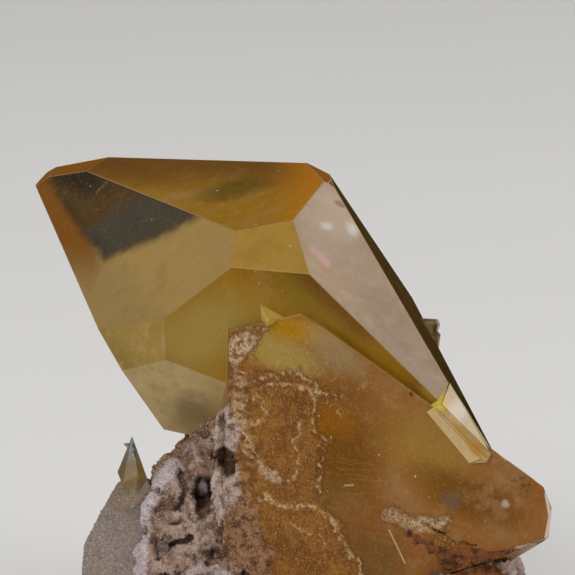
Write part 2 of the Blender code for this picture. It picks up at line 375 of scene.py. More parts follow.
def add_node(tree, kind, settings=None, inputs=None):
    """A node in a tree: its settings first, then the values or links of its sockets."""
    made = tree.nodes.new(kind)
    for key, setting in (settings or {}).items():
        setattr(made, key, setting)
    for key, given in (inputs or {}).items():
        if isinstance(given, bpy.types.NodeSocket):
            tree.links.new(given, made.inputs[key])
        else:
            made.inputs[key].default_value = given
    return made


class Nodes:
    """A material's nodes, with short ways to make those that a stone needs."""

    def __init__(self, name):
        self.material = bpy.data.materials.new(name)
        self.material.use_nodes = True
        self.tree = self.material.node_tree
        self.tree.nodes.clear()

    def node(self, kind, settings=None, inputs=None, output=0):
        """A node of a kind, as the value of one of its outputs."""
        given = {}
        for key, item in (inputs or {}).items():
            given[key] = item.socket if isinstance(item, Value) else item
        return Value(self, add_node(self.tree, kind, settings, given).outputs[output])

    def place(self):
        """Object coordinates."""
        return self.node("ShaderNodeTexCoord", output=3)

    def marked(self, name):
        """A number kept on the mesh."""
        return self.node("ShaderNodeAttribute", {"attribute_name": name}, output=2)

    def marked_colour(self, name):
        """A colour kept on the mesh."""
        return self.node("ShaderNodeAttribute", {"attribute_name": name}, output=0)

    def principled(self, inputs, settings=None):
        """A Principled shader."""
        return self.node("ShaderNodeBsdfPrincipled", settings, inputs)

    def mix(self, share, first, second):
        """A colour between two."""
        settings = {"data_type": "RGBA", "clamp_factor": True}
        first = (*first, 1.0) if isinstance(first, tuple) else first
        second = (*second, 1.0) if isinstance(second, tuple) else second
        return self.node("ShaderNodeMix", settings, {0: share, 6: first, 7: second}, 2)

    def smooth(self, value, low, high):
        """0 below low, 1 above high, smooth between. It falls where low is above high."""
        if low > high:
            return 1.0 - self.smooth(value, high, low)
        settings = {"interpolation_type": "SMOOTHSTEP"}
        return self.node("ShaderNodeMapRange", settings, {0: value, 1: low, 2: high})

    def noise(self, size, detail=3.0, rough=0.5, distort=0.0):
        """Smooth noise of 0 to 1 with bumps of a size in metres."""
        inputs = {"Scale": 1.0 / size, "Detail": detail, "Roughness": rough, "Distortion": distort}
        return self.node("ShaderNodeTexNoise", {}, {"Vector": self.place(), **inputs})

    def cells(self, size):
        """Distance to the nearest of scattered points, spaced by a size in metres."""
        return self.node("ShaderNodeTexVoronoi", {}, {"Vector": self.place(), "Scale": 1.0 / size})

    def speckled(self, colour, *rows):
        """A colour with others over it. A row has a noise, low, high, a share and a colour."""
        for noise_value, low, high, share, paint in rows:
            colour = self.mix(self.smooth(noise_value, low, high) * share, colour, paint)
        return colour

    def bump(self, height, distance, strength, normal=None):
        """A surface direction roughened by a height of 0 to 1 times a distance in metres."""
        inputs = {"Strength": strength, "Distance": distance, "Height": height}
        if normal is not None:
            inputs["Normal"] = normal
        return self.node("ShaderNodeBump", {}, inputs)

    def front_plane(self):
        """Across and down on the front plane."""
        inputs = {0: self.place(), 1: tuple(PLANE_MIDDLE)}
        offset = self.node("ShaderNodeVectorMath", {"operation": "SUBTRACT"}, inputs)
        away, up = (
            self.node("ShaderNodeVectorMath", {"operation": "DOT_PRODUCT"}, {0: offset, 1: tuple(way)}, 1)
            for way in (FORWARD, UPWARD)
        )
        side = self.node("ShaderNodeSeparateXYZ", {}, {0: offset})
        scale = (VIEW_DISTANCE / STEP) / (away + VIEW_DISTANCE)
        return side * scale + HALF_STEPS, HALF_STEPS - up * scale

    def finish(self, shader, volume=None):
        """Joins a shader, and a volume where there is one, to the material's output."""
        made = self.tree.nodes.new("ShaderNodeOutputMaterial")
        self.tree.links.new(shader.socket, made.inputs["Surface"])
        if volume is not None:
            self.tree.links.new(volume.socket, made.inputs["Volume"])
        return self.material


def beyond(across, down, start, end):
    """Steps by which a place lies to the left of a line, looking from its start to its end."""
    dx, dy = end[0] - start[0], end[1] - start[1]
    length = math.hypot(dx, dy)
    return across * (dy / length) + down * (-dx / length) + (start[1] * dx - start[0] * dy) / length


def painted_area(nodes, across, down, corners, soft):
    """Mask of a convex area on the front plane, its corners given clockwise as seen."""
    nearest = None
    for start, end in zip(corners, corners[1:] + corners[:1]):
        inner = -beyond(across, down, start, end)
        nearest = inner if nearest is None else nearest.math("MINIMUM", inner)
    return nodes.smooth(nearest, -soft, soft)


def painted_oval(nodes, across, down, middle, halves, soft=0.5, turn=0.0):
    """Mask of an oval on the front plane, turned by degrees."""
    cosine, sine = math.cos(math.radians(turn)), math.sin(math.radians(turn))
    x = across + -middle[0]
    y = down + -middle[1]
    right = (x * cosine + y * sine) / halves[0]
    lower = (y * cosine + x * -sine) / halves[1]
    distance = (right * right + lower * lower).math("SQRT")
    return nodes.smooth(distance, 1.0 + soft, 1.0 - soft)


def painted_line(nodes, across, down, points, half_width, soft):
    """Mask of a stroke through points on the front plane."""
    mask = None
    for start, end in zip(points, points[1:]):
        dx, dy = end[0] - start[0], end[1] - start[1]
        length = math.hypot(dx, dy)
        x = across + -start[0]
        y = down + -start[1]
        along = x * (dx / length) + y * (dy / length)
        over = along - along.math("MAXIMUM", 0.0).math("MINIMUM", length)
        off = x * (dy / length) + y * (-dx / length)
        distance = (off * off + over * over).math("SQRT")
        one = nodes.smooth(distance, half_width + soft, half_width)
        mask = one if mask is None else mask.math("MAXIMUM", one)
    return mask


def on_facets(nodes, facet, names):
    """Mask of the named facets."""
    mask = None
    for name in names:
        inputs = {0: facet, 1: float(FACET_NAMES.index(name)), 2: 0.4}
        one = nodes.node("ShaderNodeMath", {"operation": "COMPARE"}, inputs)
        mask = one if mask is None else mask + one
    return mask


# Shapes to paint. Each gives a function that makes its mask from a material's nodes and fields:
# places on the front plane, straight or wavy, and numbers that vary over the crystal.


def oval(middle, halves, soft=0.5, turn=0.0, way="wavy"):
    """An oval, turned by degrees."""
    return lambda n, fields: painted_oval(n, *fields[way], middle, halves, soft, turn)


def stroke(points, half_width, soft, way="straight"):
    """A stroke through points."""
    return lambda n, fields: painted_line(n, *fields[way], points, half_width, soft)


def area(corners, soft):
    """A convex area, its corners given clockwise as seen."""
    return lambda n, fields: painted_area(n, *fields["wavy"], corners, soft)


def side_of(start, end, low, high, way="wavy"):
    """One side of a line, between two distances from it."""
    return lambda n, fields: n.smooth(beyond(*fields[way], start, end), low, high)


def where(field, low, high):
    """Where a field rises from low to high, or falls if low is above high."""
    return lambda n, fields: n.smooth(fields[field], low, high)


FACET_GROUPS = {
    "top": ("top",),
    "left": ("upper_left",),
    "lower": ("lower_front",),
    "foot": ("lower_left",),
    "small_left": ("small_left",),
    "right": ("right",),
    "right_edge": ("right_edge",),
    "front": ("front_face",),
    "front_and_lower": ("front_face", "lower_front"),
    "front_lower_left": ("front_face", "lower_front", "upper_left"),
    "side": ("side", "top_behind", "left_behind"),
    "side_and_front": ("side", "top_behind", "left_behind", "front_face"),
    "behind": ("left_behind", "top_behind", "right_behind", "under_front", "back", "under_behind"),
    "edge": ("edge",),
    "ridges": (
        "right_ridge_front", "left_ridge_front", "right_ridge_right", "left_ridge_right",
        "ridge_edge", "ridge_end",
    ),
    "bud": ("bud",),
    "tooth": ("tooth",),
}
FINE_LINES = (
    ((322, 457), (356, 460)),
    ((330, 462), (376, 465)),
    ((336, 468), (368, 471)),
    ((326, 473), (372, 477)),
    ((352, 480), (384, 482)),
    ((340, 492), (376, 495)),
    ((366, 532), (391, 535)),
    ((371, 538), (392, 546)),
    ((368, 535), (394, 544)),
    ((300, 349), (316, 356)),
    ((384, 398), (398, 408)),
    ((472, 505), (486, 509)),
)
BRIGHT_LINES = (((389, 530), (405, 563)), ((493, 448), (506, 460)))
ORANGE_EDGE = [(28, 178), (46, 162), (92, 238), (98, 264), (94, 302), (60, 262)]
DARK_REFLECTION_AREA = [(42, 160), (120, 162), (203, 214), (160, 236), (105, 259), (62, 207)]
GREY_REFLECTION_AREA = [(150, 190), (202, 214), (160, 236), (106, 258), (82, 232)]
PAINTED_GLINT = (0.98, 0.97, 0.95)
UPPER_SIDE = where("down", 236.0, 216.0)
BROWN_EDGE = where("down", 176.0, 166.0)

# What is painted on the honey crystals, in order: facets, colour, its share, and shapes.
PAINT = (
    # The top facet: orange along its upper edge and at its right end, with dark veils.
    ("top", (0.130, 0.042, 0.002), 0.75, side_of((80, 156), (303, 166), -34.0, -2.0)),
    ("top", (0.567, 0.193, 0.001), 0.85, where("swayed", 262.0, 318.0)),
    ("top", (0.035, 0.039, 0.001), 0.55, oval((232, 190), (34, 9), 0.5, -12.0)),
    ("top", (0.150, 0.052, 0.002), 0.55, oval((120, 172), (60, 12), 0.6, 8.0)),
    # The upper left facet: an orange edge, a dark painted reflection with a grey veil, darkest near its
    # top, and a streak.
    ("left", (0.370, 0.125, 0.002), 1.0, area(ORANGE_EDGE, 7.0), where("down", 304.0, 236.0)),
    ("left", (0.066, 0.030, 0.003), 0.96, area(DARK_REFLECTION_AREA, 5.0)),
    ("left", (0.002, 0.001, 0.001), 0.95, oval((76, 178), (30, 15), 0.6, 20.0)),
    ("left", (0.046, 0.059, 0.060), 0.85, area(GREY_REFLECTION_AREA, 9.0)),
    ("left", (0.42, 0.33, 0.20), 0.35, stroke([(96, 193), (107, 182)], 0.3, 1.6, "wavy_across")),
    # The lower front facet: darker and more orange towards the right facet.
    ("lower", (0.217, 0.162, 0.008), 0.7, oval((315, 292), (46, 26), 0.6, 35.0)),
    ("lower", (0.157, 0.018, 0.001), 0.65, side_of((300, 270), (440, 400), -17.0, -1.0, "straight")),
    ("lower", (0.515, 0.240, 0.003), 0.85, oval((388, 362), (34, 14), 0.6, 42.0)),
    ("lower", (0.475, 0.429, 0.127), 0.6, oval((200, 335), (55, 30), 0.6, -25.0)),
    # The facets at the lower left: pale and cloudy, with a grey painted shade over the rock.
    ("foot", (0.250, 0.216, 0.142), 0.75, oval((195, 412), (24, 17), 0.6, 20.0)),
    ("foot_clouds", (0.86, 0.76, 0.50), 0.45, where("mottle", 0.50, 0.68)),
    ("foot_clouds", (0.46, 0.37, 0.16), 0.30, where("mottle", 0.48, 0.34)),
    # The right facet: pale and rosy, mottled, with a painted pale reflection at its top, painted glints and
    # a pink streak.
    ("right", (0.62, 0.43, 0.29), 0.35, where("mottle", 0.40, 0.70)),
    ("right", (0.30, 0.165, 0.060), 0.3, where("mottle", 0.50, 0.28)),
    ("right", (0.40, 0.275, 0.110), 0.55, oval((312, 245), (20, 32), 0.6, 10.0)),
    ("right", (0.82, 0.32, 0.46), 0.85, stroke([(312, 247), (328, 265)], 1.0, 4.2, "wavy")),
    ("right", (0.74, 0.57, 0.42), 0.6, oval((336, 216), (26, 30), 0.8, -20.0)),
    ("right", PAINTED_GLINT, 1.0, oval((327, 226), (5.5, 3.4), 0.8, 10.0, "wavy_across")),
    ("right", PAINTED_GLINT, 1.0, oval((353, 229), (7.0, 5.0), 0.8, 50.0, "wavy_across")),
    ("right", (0.12, 0.045, 0.003), 1.0, oval((340, 204), (6.5, 2.8), 0.4, 26.0, "straight")),
    # The front crystal: orange at the top, amber in the middle, clearer and grey at the right.
    ("front", (0.428, 0.210, 0.002), 0.95, oval((293, 330), (34, 12), 0.5, 12.0)),
    ("front", (0.425, 0.323, 0.078), 0.75, oval((278, 354), (48, 16), 0.6, 22.0)),
    ("front", (0.373, 0.273, 0.129), 0.7, oval((335, 352), (34, 14), 0.6, 42.0)),
    ("front", (0.165, 0.060, 0.003), 0.8, oval((338, 450), (40, 62), 0.7, -6.0)),
    ("front", (0.355, 0.122, 0.001), 0.6, oval((336, 422), (22, 16), 0.7)),
    ("front", (0.381, 0.222, 0.037), 0.6, oval((430, 448), (52, 34), 0.7, 35.0)),
    ("front", (0.142, 0.049, 0.001), 0.8, oval((468, 496), (54, 20), 0.6, 24.0)),
    ("front", (0.196, 0.088, 0.022), 0.85, oval((368, 558), (34, 30))),
    ("front", (0.250, 0.080, 0.002), 0.85, oval((236, 430), (16, 84), 0.4)),
    ("front", (0.42, 0.22, 0.100), 0.5, oval((500, 498), (34, 22), 0.6, 20.0), where("mottle", 0.42, 0.62)),
    ("front", (0.40, 0.110, 0.015), 0.5, oval((528, 522), (14, 12), 0.6), where("mottle", 0.45, 0.60)),
    ("front", (0.15, 0.100, 0.080), 0.7, oval((451, 501), (9, 7), 0.7)),
    ("front", (0.060, 0.045, 0.035), 0.8, oval((521, 484), (13, 8), 0.6, 20.0), where("shiver", 0.5, 0.6)),
    ("front", (0.62, 0.48, 0.38), 0.85, oval((506, 504), (3.2, 3.8), 0.7, 0.0, "wavy_across")),
    # Fine strokes, a bright dash and pale threads in the front crystal.
    ("front", (0.55, 0.36, 0.12), 1.0, stroke([(344.5, 485.5), (353.0, 485.0)], 0.5, 0.8)),
    *(("front", (0.50, 0.30, 0.10), 0.22, stroke(line, 0.1, 0.8, "wavy_down")) for line in FINE_LINES),
    *(("front", (0.80, 0.60, 0.36), 0.6, stroke(line, 0.3, 1.0)) for line in BRIGHT_LINES),
    ("front", (0.60, 0.44, 0.22), 0.38, where("web", 0.012, 0.003), oval((318, 384), (62, 34), 0.5, 24.0)),
    ("front_lower_left", (0.66, 0.50, 0.28), 0.10, where("web", 0.012, 0.003)),
    # A painted golden glow of light across the seam of the front crystal, and a brown dot there.
    ("front_and_lower", (0.74, 0.46, 0.040), 0.7, oval((430, 396), (13, 5.5), 0.7, 42.0, "straight")),
    ("front_and_lower", (0.10, 0.025, 0.003), 0.9, oval((411, 394), (2.2, 2.2), 0.6, 0.0, "straight")),
    # The side faces: orange at the top of the large crystal, with a pale rim low at the right.
    ("side", (0.270, 0.085, 0.002), 0.9, UPPER_SIDE),
    ("side", (0.40, 0.17, 0.045), 0.8, where("across", 530.0, 538.0), where("down", 470.0, 490.0)),
    ("side_and_front", (0.90, 0.76, 0.62), 0.85, stroke([(546, 494), (550, 516), (546, 538)], 0.6, 1.8)),
    # The narrow right facet: painted shade, darker towards its lower end.
    ("right_edge", (0.014, 0.007, 0.001), 0.6, where("down", 290.0, 420.0)),
    ("edge", (0.20, 0.075, 0.003), 0.85, BROWN_EDGE),
    # The ridges: a painted yellow glow of light at their heads and near the seam, and an orange groove
    # between them.
    ("ridges", (0.95, 0.86, 0.70), 0.8, oval((459, 411), (10, 12), 0.7, 45.0)),
    ("ridges", (0.66, 0.46, 0.28), 0.4, where("mottle", 0.5, 0.72)),
    ("ridges", (0.60, 0.25, 0.035), 0.85, oval((476, 448), (9, 5), 0.7, 50.0)),
    ("ridges", (0.66, 0.34, 0.060), 0.8, stroke([(446, 410), (474, 450)], 0.8, 3.0, "wavy_across")),
    ("ridges", (0.960, 0.731, 0.075), 0.8, oval((438, 403), (9, 8), 0.6, 0.0, "straight")),
    # The bud's dark core.
    ("bud", (0.060, 0.035, 0.008), 0.85, oval((436, 331), (2.8, 8.0), 0.6, -6.0, "straight")),
)

# How much of each group of facets is without gloss.
MATT = {"top": 0.8, "ridges": 0.7, "front": 0.7, "tooth": 0.8, "left": 0.25, "right_edge": 1.0}


def honey_material(look):
    """The see-through honey calcite, with the clouds, veils and stains of its facets, and painted glints,
    glows, reflections and shade.
    """
    n = Nodes("honey_calcite")
    across, down = n.front_plane()
    facet = n.marked("facet")
    masks = {group: on_facets(n, facet, names) for group, names in FACET_GROUPS.items()}
    masks["foot_clouds"] = masks["foot"] + masks["small_left"] * 0.6
    wobble = n.noise(1.6 * MM, 4.0, 0.6)
    shiver = n.noise(0.5 * MM, 3.0, 0.6)
    wavy_across = across + (wobble + -0.5) * 10.0 + (shiver + -0.5) * 4.0
    wavy_down = down + (n.noise(2.1 * MM, 4.0, 0.6) + -0.5) * 10.0
    clouds = n.noise(7.0 * MM, 4.0, 0.55)
    mottle = n.noise(2.4 * MM, 4.0, 0.62)
    fine = n.noise(0.35 * MM, 2.0, 0.6)
    web = n.noise(3.4 * MM, 3.0, 0.55, 1.2)
    fields = {
        "straight": (across, down),
        "wavy": (wavy_across, wavy_down),
        "wavy_across": (wavy_across, down),
        "wavy_down": (across, wavy_down),
        "across": across,
        "swayed": wavy_across,
        "down": down,
        "mottle": mottle,
        "shiver": shiver,
        "web": (web + -0.5).math("ABSOLUTE"),
    }

    # Broad clouds all over, with more amber and pale veils on the facets at the back.
    cloudy = 1.0 - masks["right_edge"] * 0.8
    amber_cloud = n.noise(9.0 * MM, 4.0, 0.55, 0.3)
    pale_veil = n.noise(5.0 * MM, 5.0, 0.62, 0.4)
    # The base is each facet's colour, painted light and shade included.
    colour = n.speckled(
        n.marked_colour("tone"),
        (clouds, 0.42, 0.75, cloudy * 0.35, (0.42, 0.30, 0.13)),
        (clouds, 0.48, 0.22, cloudy * 0.35, (0.20, 0.10, 0.012)),
        (mottle, 0.52, 0.72, cloudy * 0.16, (0.62, 0.46, 0.22)),
        (mottle, 0.48, 0.28, cloudy * 0.16, (0.16, 0.075, 0.006)),
        (amber_cloud, 0.44, 0.64, masks["behind"] * 0.6, (0.26, 0.085, 0.004)),
        (pale_veil, 0.50, 0.72, masks["behind"] * 0.5, (0.66, 0.50, 0.26)),
    )

    for group, paint, share, *shapes in PAINT:
        mask = masks[group] * share
        for shape in shapes:
            mask = mask * shape(n, fields)
        colour = n.mix(mask, colour, paint)

    # Fine grain, scattered white dust and specks, and dark pits.
    dusty = n.smooth(n.noise(9.0 * MM), 0.47, 0.60)
    colour = n.speckled(
        colour,
        (fine, 0.5, 0.75, 0.13, (0.62, 0.46, 0.25)),
        (fine, 0.48, 0.28, 0.14, (0.10, 0.050, 0.008)),
        (n.cells(1.9 * MM), 0.075, 0.045, dusty * 0.85, (0.80, 0.72, 0.60)),
        (n.cells(4.3 * MM), 0.045, 0.030, 0.85, (0.86, 0.78, 0.64)),
        (n.cells(3.1 * MM), 0.05, 0.03, 0.6, (0.08, 0.045, 0.015)),
    )

    # Gentle growth waves and a faint grain under the gloss.
    waves = n.noise(3.2 * MM, 2.0, 0.5)
    normal = n.bump(waves, 0.16 * MM, 0.5)
    normal = n.bump(shiver, 0.02 * MM, 0.4, normal)
    glossy = n.principled(
        {
            "Base Color": colour,
            "Roughness": n.smooth(clouds, 0.35, 0.7) * 0.15 + look.roughness,
            "IOR": look.ior,
            "Transmission Weight": look.clear,
            "Specular Tint": (*look.gloss_colour, 1.0),
            "Coat Weight": (masks["right"] + masks["ridges"]) * 0.55 + 0.04,
            "Coat Roughness": 0.12,
            "Coat IOR": 1.5,
            "Normal": normal,
        },
        {"distribution": "MULTI_GGX"},
    )
    dull = n.principled(
        {"Base Color": colour, "Roughness": 0.6, "Specular IOR Level": 0.0, "Normal": normal}
    )
    matt = masks["side"] * UPPER_SIDE(n, fields) * 0.95 + masks["edge"] * BROWN_EDGE(n, fields) * 0.9
    for group, share in MATT.items():
        matt = matt + masks[group] * share
    mixed = n.node("ShaderNodeMixShader", {}, {0: matt.math("MINIMUM", 1.0), 1: glossy, 2: dull})
    depth_inputs = {"Color": (*look.depth_colour, 1.0), "Density": look.depth}
    return n.finish(mixed, n.node("ShaderNodeVolumeAbsorption", {}, depth_inputs))


def crust_material(look):
    """The grainy crust on the front crystal: brown sugar with pale veins."""
    n = Nodes("front_crust")
    pale = n.marked("pale")
    vein = n.marked("vein")
    red = n.marked("red")
    hollow = n.marked("hollow")
    fade = n.marked("fade")
    fine = n.noise(0.32 * MM, 3.0, 0.65)
    mid = n.noise(1.3 * MM, 4.0, 0.6)
    wide = n.noise(5.0 * MM, 3.0, 0.5)
    colour = n.speckled(
        n.mix(n.smooth(wide, 0.35, 0.65), look.brown[:], (0.26, 0.098, 0.010)),
        (mid, 0.48, 0.68, 0.6, (0.40, 0.170, 0.030)),
        (mid, 0.46, 0.30, 0.6, (0.13, 0.040, 0.004)),
        (fine, 0.52, 0.68, 0.65, (0.56, 0.31, 0.080)),
        (fine, 0.44, 0.30, 0.42, (0.13, 0.045, 0.005)),
    )
    strip_tone = n.mix(n.smooth(mid, 0.44, 0.62), look.strip[:], (0.38, 0.220, 0.080))
    colour = n.mix(n.marked("strip") * 0.7, colour, strip_tone)
    grit = n.smooth(fine, 0.36, 0.60)
    colour = n.mix(vein * (grit * 0.62 + 0.08), colour, look.vein[:])
    colour = n.mix(pale * (grit * 0.62 + 0.16), colour, look.white[:])
    earth = n.mix(n.smooth(mid, 0.36, 0.60), (0.080, 0.032, 0.011), (0.34, 0.165, 0.075))
    earth = n.mix(n.smooth(fine, 0.50, 0.64) * 0.5, earth, (0.58, 0.40, 0.28))
    colour = n.mix(n.marked("earthy") * 0.95, colour, earth)
    rosy = n.mix(n.smooth(mid, 0.34, 0.58), (0.16, 0.090, 0.060), (0.56, 0.42, 0.35))
    rosy = n.mix(n.smooth(fine, 0.52, 0.66) * 0.5, rosy, (0.72, 0.60, 0.53))
    colour = n.mix(n.marked("rosy") * 0.95, colour, rosy)
    # Painted shade: dark in the hole, the dark spot and the cracks.
    hollow_shade_colour = n.mix(n.smooth(fine, 0.42, 0.62), (0.018, 0.007, 0.003), (0.090, 0.038, 0.018))
    colour = n.mix(hollow * 0.95, colour, hollow_shade_colour)
    colour = n.mix(fade * 0.6, colour, (0.25, 0.108, 0.008))
    rust = n.mix(n.smooth(mid, 0.38, 0.60), (0.060, 0.016, 0.005), (0.22, 0.065, 0.018))
    colour = n.mix(red * 0.95, colour, rust)
    cover = n.smooth(fade + (fine + -0.5) * 1.6 + (mid + -0.5) * 2.2, 0.84, 0.34)
    normal = n.bump(fine, 0.12 * MM, 0.8)
    both = {"Base Color": colour, "Normal": normal, "Alpha": cover}
    rough = n.smooth(fine, 0.2, 0.8) * 0.25 + 0.5
    sugary = n.principled({**both, "Roughness": rough, "Specular IOR Level": 0.25})
    dull = n.principled({**both, "Roughness": 0.9, "Specular IOR Level": 0.0})
    return n.finish(n.node("ShaderNodeMixShader", {}, {0: hollow, 1: sugary, 2: dull}))


def rock_material(look):
    """The porous matrix: rosy white where it is fresh, warm brown in places, lilac in a hollow, with dark
    painted shade in its hollows and low places.
    """
    n = Nodes("porous_matrix")
    hollow = n.marked("hollow")
    warm = n.marked("warm")
    rim = n.marked("rim")
    lilac = n.marked("lilac")
    fine = n.noise(0.35 * MM, 4.0, 0.65)
    mid = n.noise(1.5 * MM, 5.0, 0.62)
    wide = n.noise(6.0 * MM, 3.0, 0.5)
    colour = n.mix(n.smooth(wide, 0.38, 0.62), (0.25, 0.140, 0.086), look.rosy[:])
    colour = n.speckled(
        n.mix(warm * 0.85, colour, (0.30, 0.150, 0.050)),
        (mid, 0.50, 0.66, 0.6, (0.54, 0.42, 0.35)),
        (mid, 0.50, 0.33, 0.9, (0.096, 0.048, 0.027)),
        (n.noise(2.6 * MM, 3.0, 0.6, 3.0), 0.52, 0.66, 0.45, (0.36, 0.175, 0.070)),
        (fine, 0.53, 0.66, 0.5, (0.66, 0.54, 0.47)),
        (fine, 0.46, 0.32, 0.6, (0.110, 0.060, 0.036)),
    )
    # Painted shade: dark in the hollows, grooves and low places.
    hollow_shade_colour = n.mix(n.smooth(fine, 0.4, 0.6), (0.040, 0.018, 0.011), (0.120, 0.062, 0.042))
    colour = n.mix(hollow * 0.9, colour, hollow_shade_colour)
    colour = n.mix(lilac * (n.smooth(fine, 0.3, 0.6) * 0.5 + 0.4), colour, (0.20, 0.160, 0.180))
    colour = n.mix(rim * (n.smooth(fine, 0.36, 0.56) * 0.6 + 0.25), colour, look.rim[:])
    dark_rock = n.mix(n.smooth(fine, 0.50, 0.62), (0.100, 0.034, 0.013), (0.34, 0.20, 0.150))
    colour = n.mix(n.marked("red") * 0.75, colour, dark_rock)
    pinkish = n.marked("rosy") * (n.smooth(fine, 0.30, 0.50) * 0.5 + 0.4)
    colour = n.mix(pinkish, colour, (0.60, 0.44, 0.39))
    normal = n.bump(fine, 0.16 * MM, 0.7)
    rough = n.smooth(mid, 0.3, 0.7) * -0.15 + 0.95
    inputs = {"Base Color": colour, "Roughness": rough, "Normal": normal, "Specular IOR Level": 0.3}
    return n.finish(n.principled(inputs))


def grain_material(name, dark, light):
    """Tiny crystals and grains, each a little lighter or darker than the next."""
    n = Nodes(name)
    fine = n.noise(0.6 * MM, 2.0, 0.7)
    colour = n.mix(n.smooth(fine, 0.35, 0.65), dark, light)
    rough = n.smooth(fine, 0.2, 0.8) * -0.3 + 0.6
    return n.finish(n.principled({"Base Color": colour, "Roughness": rough, "Coat Weight": 0.3}))


def frosted_material(look):
    """The frosted crystal: sandy, matt and grey with a trace of pink."""
    n = Nodes("frosted_calcite")
    fine = n.noise(0.30 * MM, 3.0, 0.7)
    mid = n.noise(1.6 * MM, 4.0, 0.6)
    wide = n.noise(6.0 * MM, 3.0, 0.5)
    warm = n.noise(3.6 * MM, 3.0, 0.55, 5.0)
    across, down = n.front_plane()
    golden = painted_oval(n, across, down, (131, 492), (15, 22), 0.7, 0.0)
    colour = n.speckled(
        n.mix(n.smooth(wide, 0.35, 0.65), look.grey[:], (0.27, 0.205, 0.170)),
        (mid, 0.48, 0.70, 0.5, (0.32, 0.235, 0.180)),
        (mid, 0.47, 0.30, 0.45, (0.150, 0.110, 0.085)),
        (warm, 0.54, 0.68, 0.45, (0.30, 0.185, 0.095)),
        (fine, 0.52, 0.64, 0.7, (0.50, 0.43, 0.39)),
        (fine, 0.46, 0.32, 0.5, (0.105, 0.078, 0.062)),
        # Painted shade: darker towards the top.
        (down, 540.0, 490.0, 0.35, (0.125, 0.088, 0.062)),
        (mid, 0.30, 0.60, golden * 0.55, (0.34, 0.20, 0.075)),
        (n.cells(4.5 * MM), 0.12, 0.05, 0.6, (0.24, 0.12, 0.045)),
    )
    normal = n.bump(fine, 0.10 * MM, 0.7)
    shader = n.principled(
        {
            "Base Color": colour,
            "Roughness": n.smooth(fine, 0.2, 0.8) * 0.2 + 0.6,
            "Normal": normal,
            "Coat Weight": n.smooth(fine, 0.62, 0.75) * 0.6,
            "Coat Roughness": 0.2,
        }
    )
    return n.finish(shader)


def tooth_material(look):
    """The clear dog-tooth crystal, golden in its lower half."""
    n = Nodes("dog_tooth_calcite")
    across, down = n.front_plane()
    wobble = n.noise(0.9 * MM, 3.0, 0.6)
    gold = n.smooth(down + (wobble + -0.5) * 20.0, 446.0, 470.0)
    colour = n.mix(gold, (0.34, 0.35, 0.35), (0.38, 0.235, 0.050))
    stain = n.smooth(n.noise(1.0 * MM, 4.0, 0.65), 0.48, 0.62) * gold
    colour = n.mix(stain * 0.7, colour, (0.44, 0.200, 0.030))
    colour = n.mix(n.smooth(down, 485.0, 505.0) * 0.8, colour, (0.26, 0.195, 0.140))
    yellow = n.smooth(across, 129.0, 127.0) * n.smooth(down, 453.0, 449.0)
    colour = n.mix(yellow * 0.85, colour, (0.60, 0.47, 0.20))
    line = painted_line(n, across, down, [(132.5, 444), (135, 456)], 0.6, 1.2)
    colour = n.mix(line * 0.8, colour, (0.03, 0.03, 0.035))
    normal = n.bump(n.noise(0.8 * MM, 3.0, 0.6), 0.05 * MM, 0.5)
    glass = n.principled(
        {
            "Base Color": colour,
            "Roughness": gold * 0.2 + 0.15,
            "IOR": look.ior,
            "Transmission Weight": 0.6,
            "Coat Weight": 0.2,
            "Coat Roughness": 0.10,
            "Normal": normal,
        }
    )
    fine = n.noise(0.30 * MM, 3.0, 0.7)
    sandy = n.mix(n.smooth(fine, 0.36, 0.62), (0.120, 0.082, 0.050), (0.40, 0.300, 0.215))
    sand = n.principled({"Base Color": sandy, "Roughness": 0.8, "Specular IOR Level": 0.2})
    rooted = n.smooth(down + (wobble + -0.5) * 22.0, 479.0, 497.0)
    shader = n.node("ShaderNodeMixShader", {}, {0: rooted, 1: glass, 2: sand})
    depth_inputs = {"Color": (0.95, 0.80, 0.50, 1.0), "Density": 60.0}
    return n.finish(shader, n.node("ShaderNodeVolumeAbsorption", {}, depth_inputs))


# The honey crystals


FACET_DIRECTIONS = {
    name: crystal_axes(*MAIN_AXES) @ face_direction(*index) for name, (index, _, _) in FACETS.items()
}

# How well a face has to match a facet: cosines of angles, and mm.
SAME_WAY = 0.9995
ALMOST_SAME_WAY = 0.995
SAME_DISTANCE = 0.15

# Edges at least this long and this sharp are eased.
LONG_EDGE = 2.0 * MM
SHARP_EDGE = math.radians(6.0)


def facet_of(direction, middle):
    """The name of the facet that a face of the honey crystals belongs to."""
    place = middle / MM
    if (place - BUD_MIDDLE).length < CHIP_REACH:
        return "bud"
    at_front = direction.dot(FACET_DIRECTIONS["front_face"]) >= ALMOST_SAME_WAY
    if (place - TOOTH_MIDDLE).length < CHIP_REACH and not at_front:
        return "tooth"
    for name, (_, distance, _) in FACETS.items():
        outward = FACET_DIRECTIONS[name]
        off = abs((place - MAIN_MIDDLE).dot(outward) - distance)
        if direction.dot(outward) > SAME_WAY and off < SAME_DISTANCE:
            return name
    return None


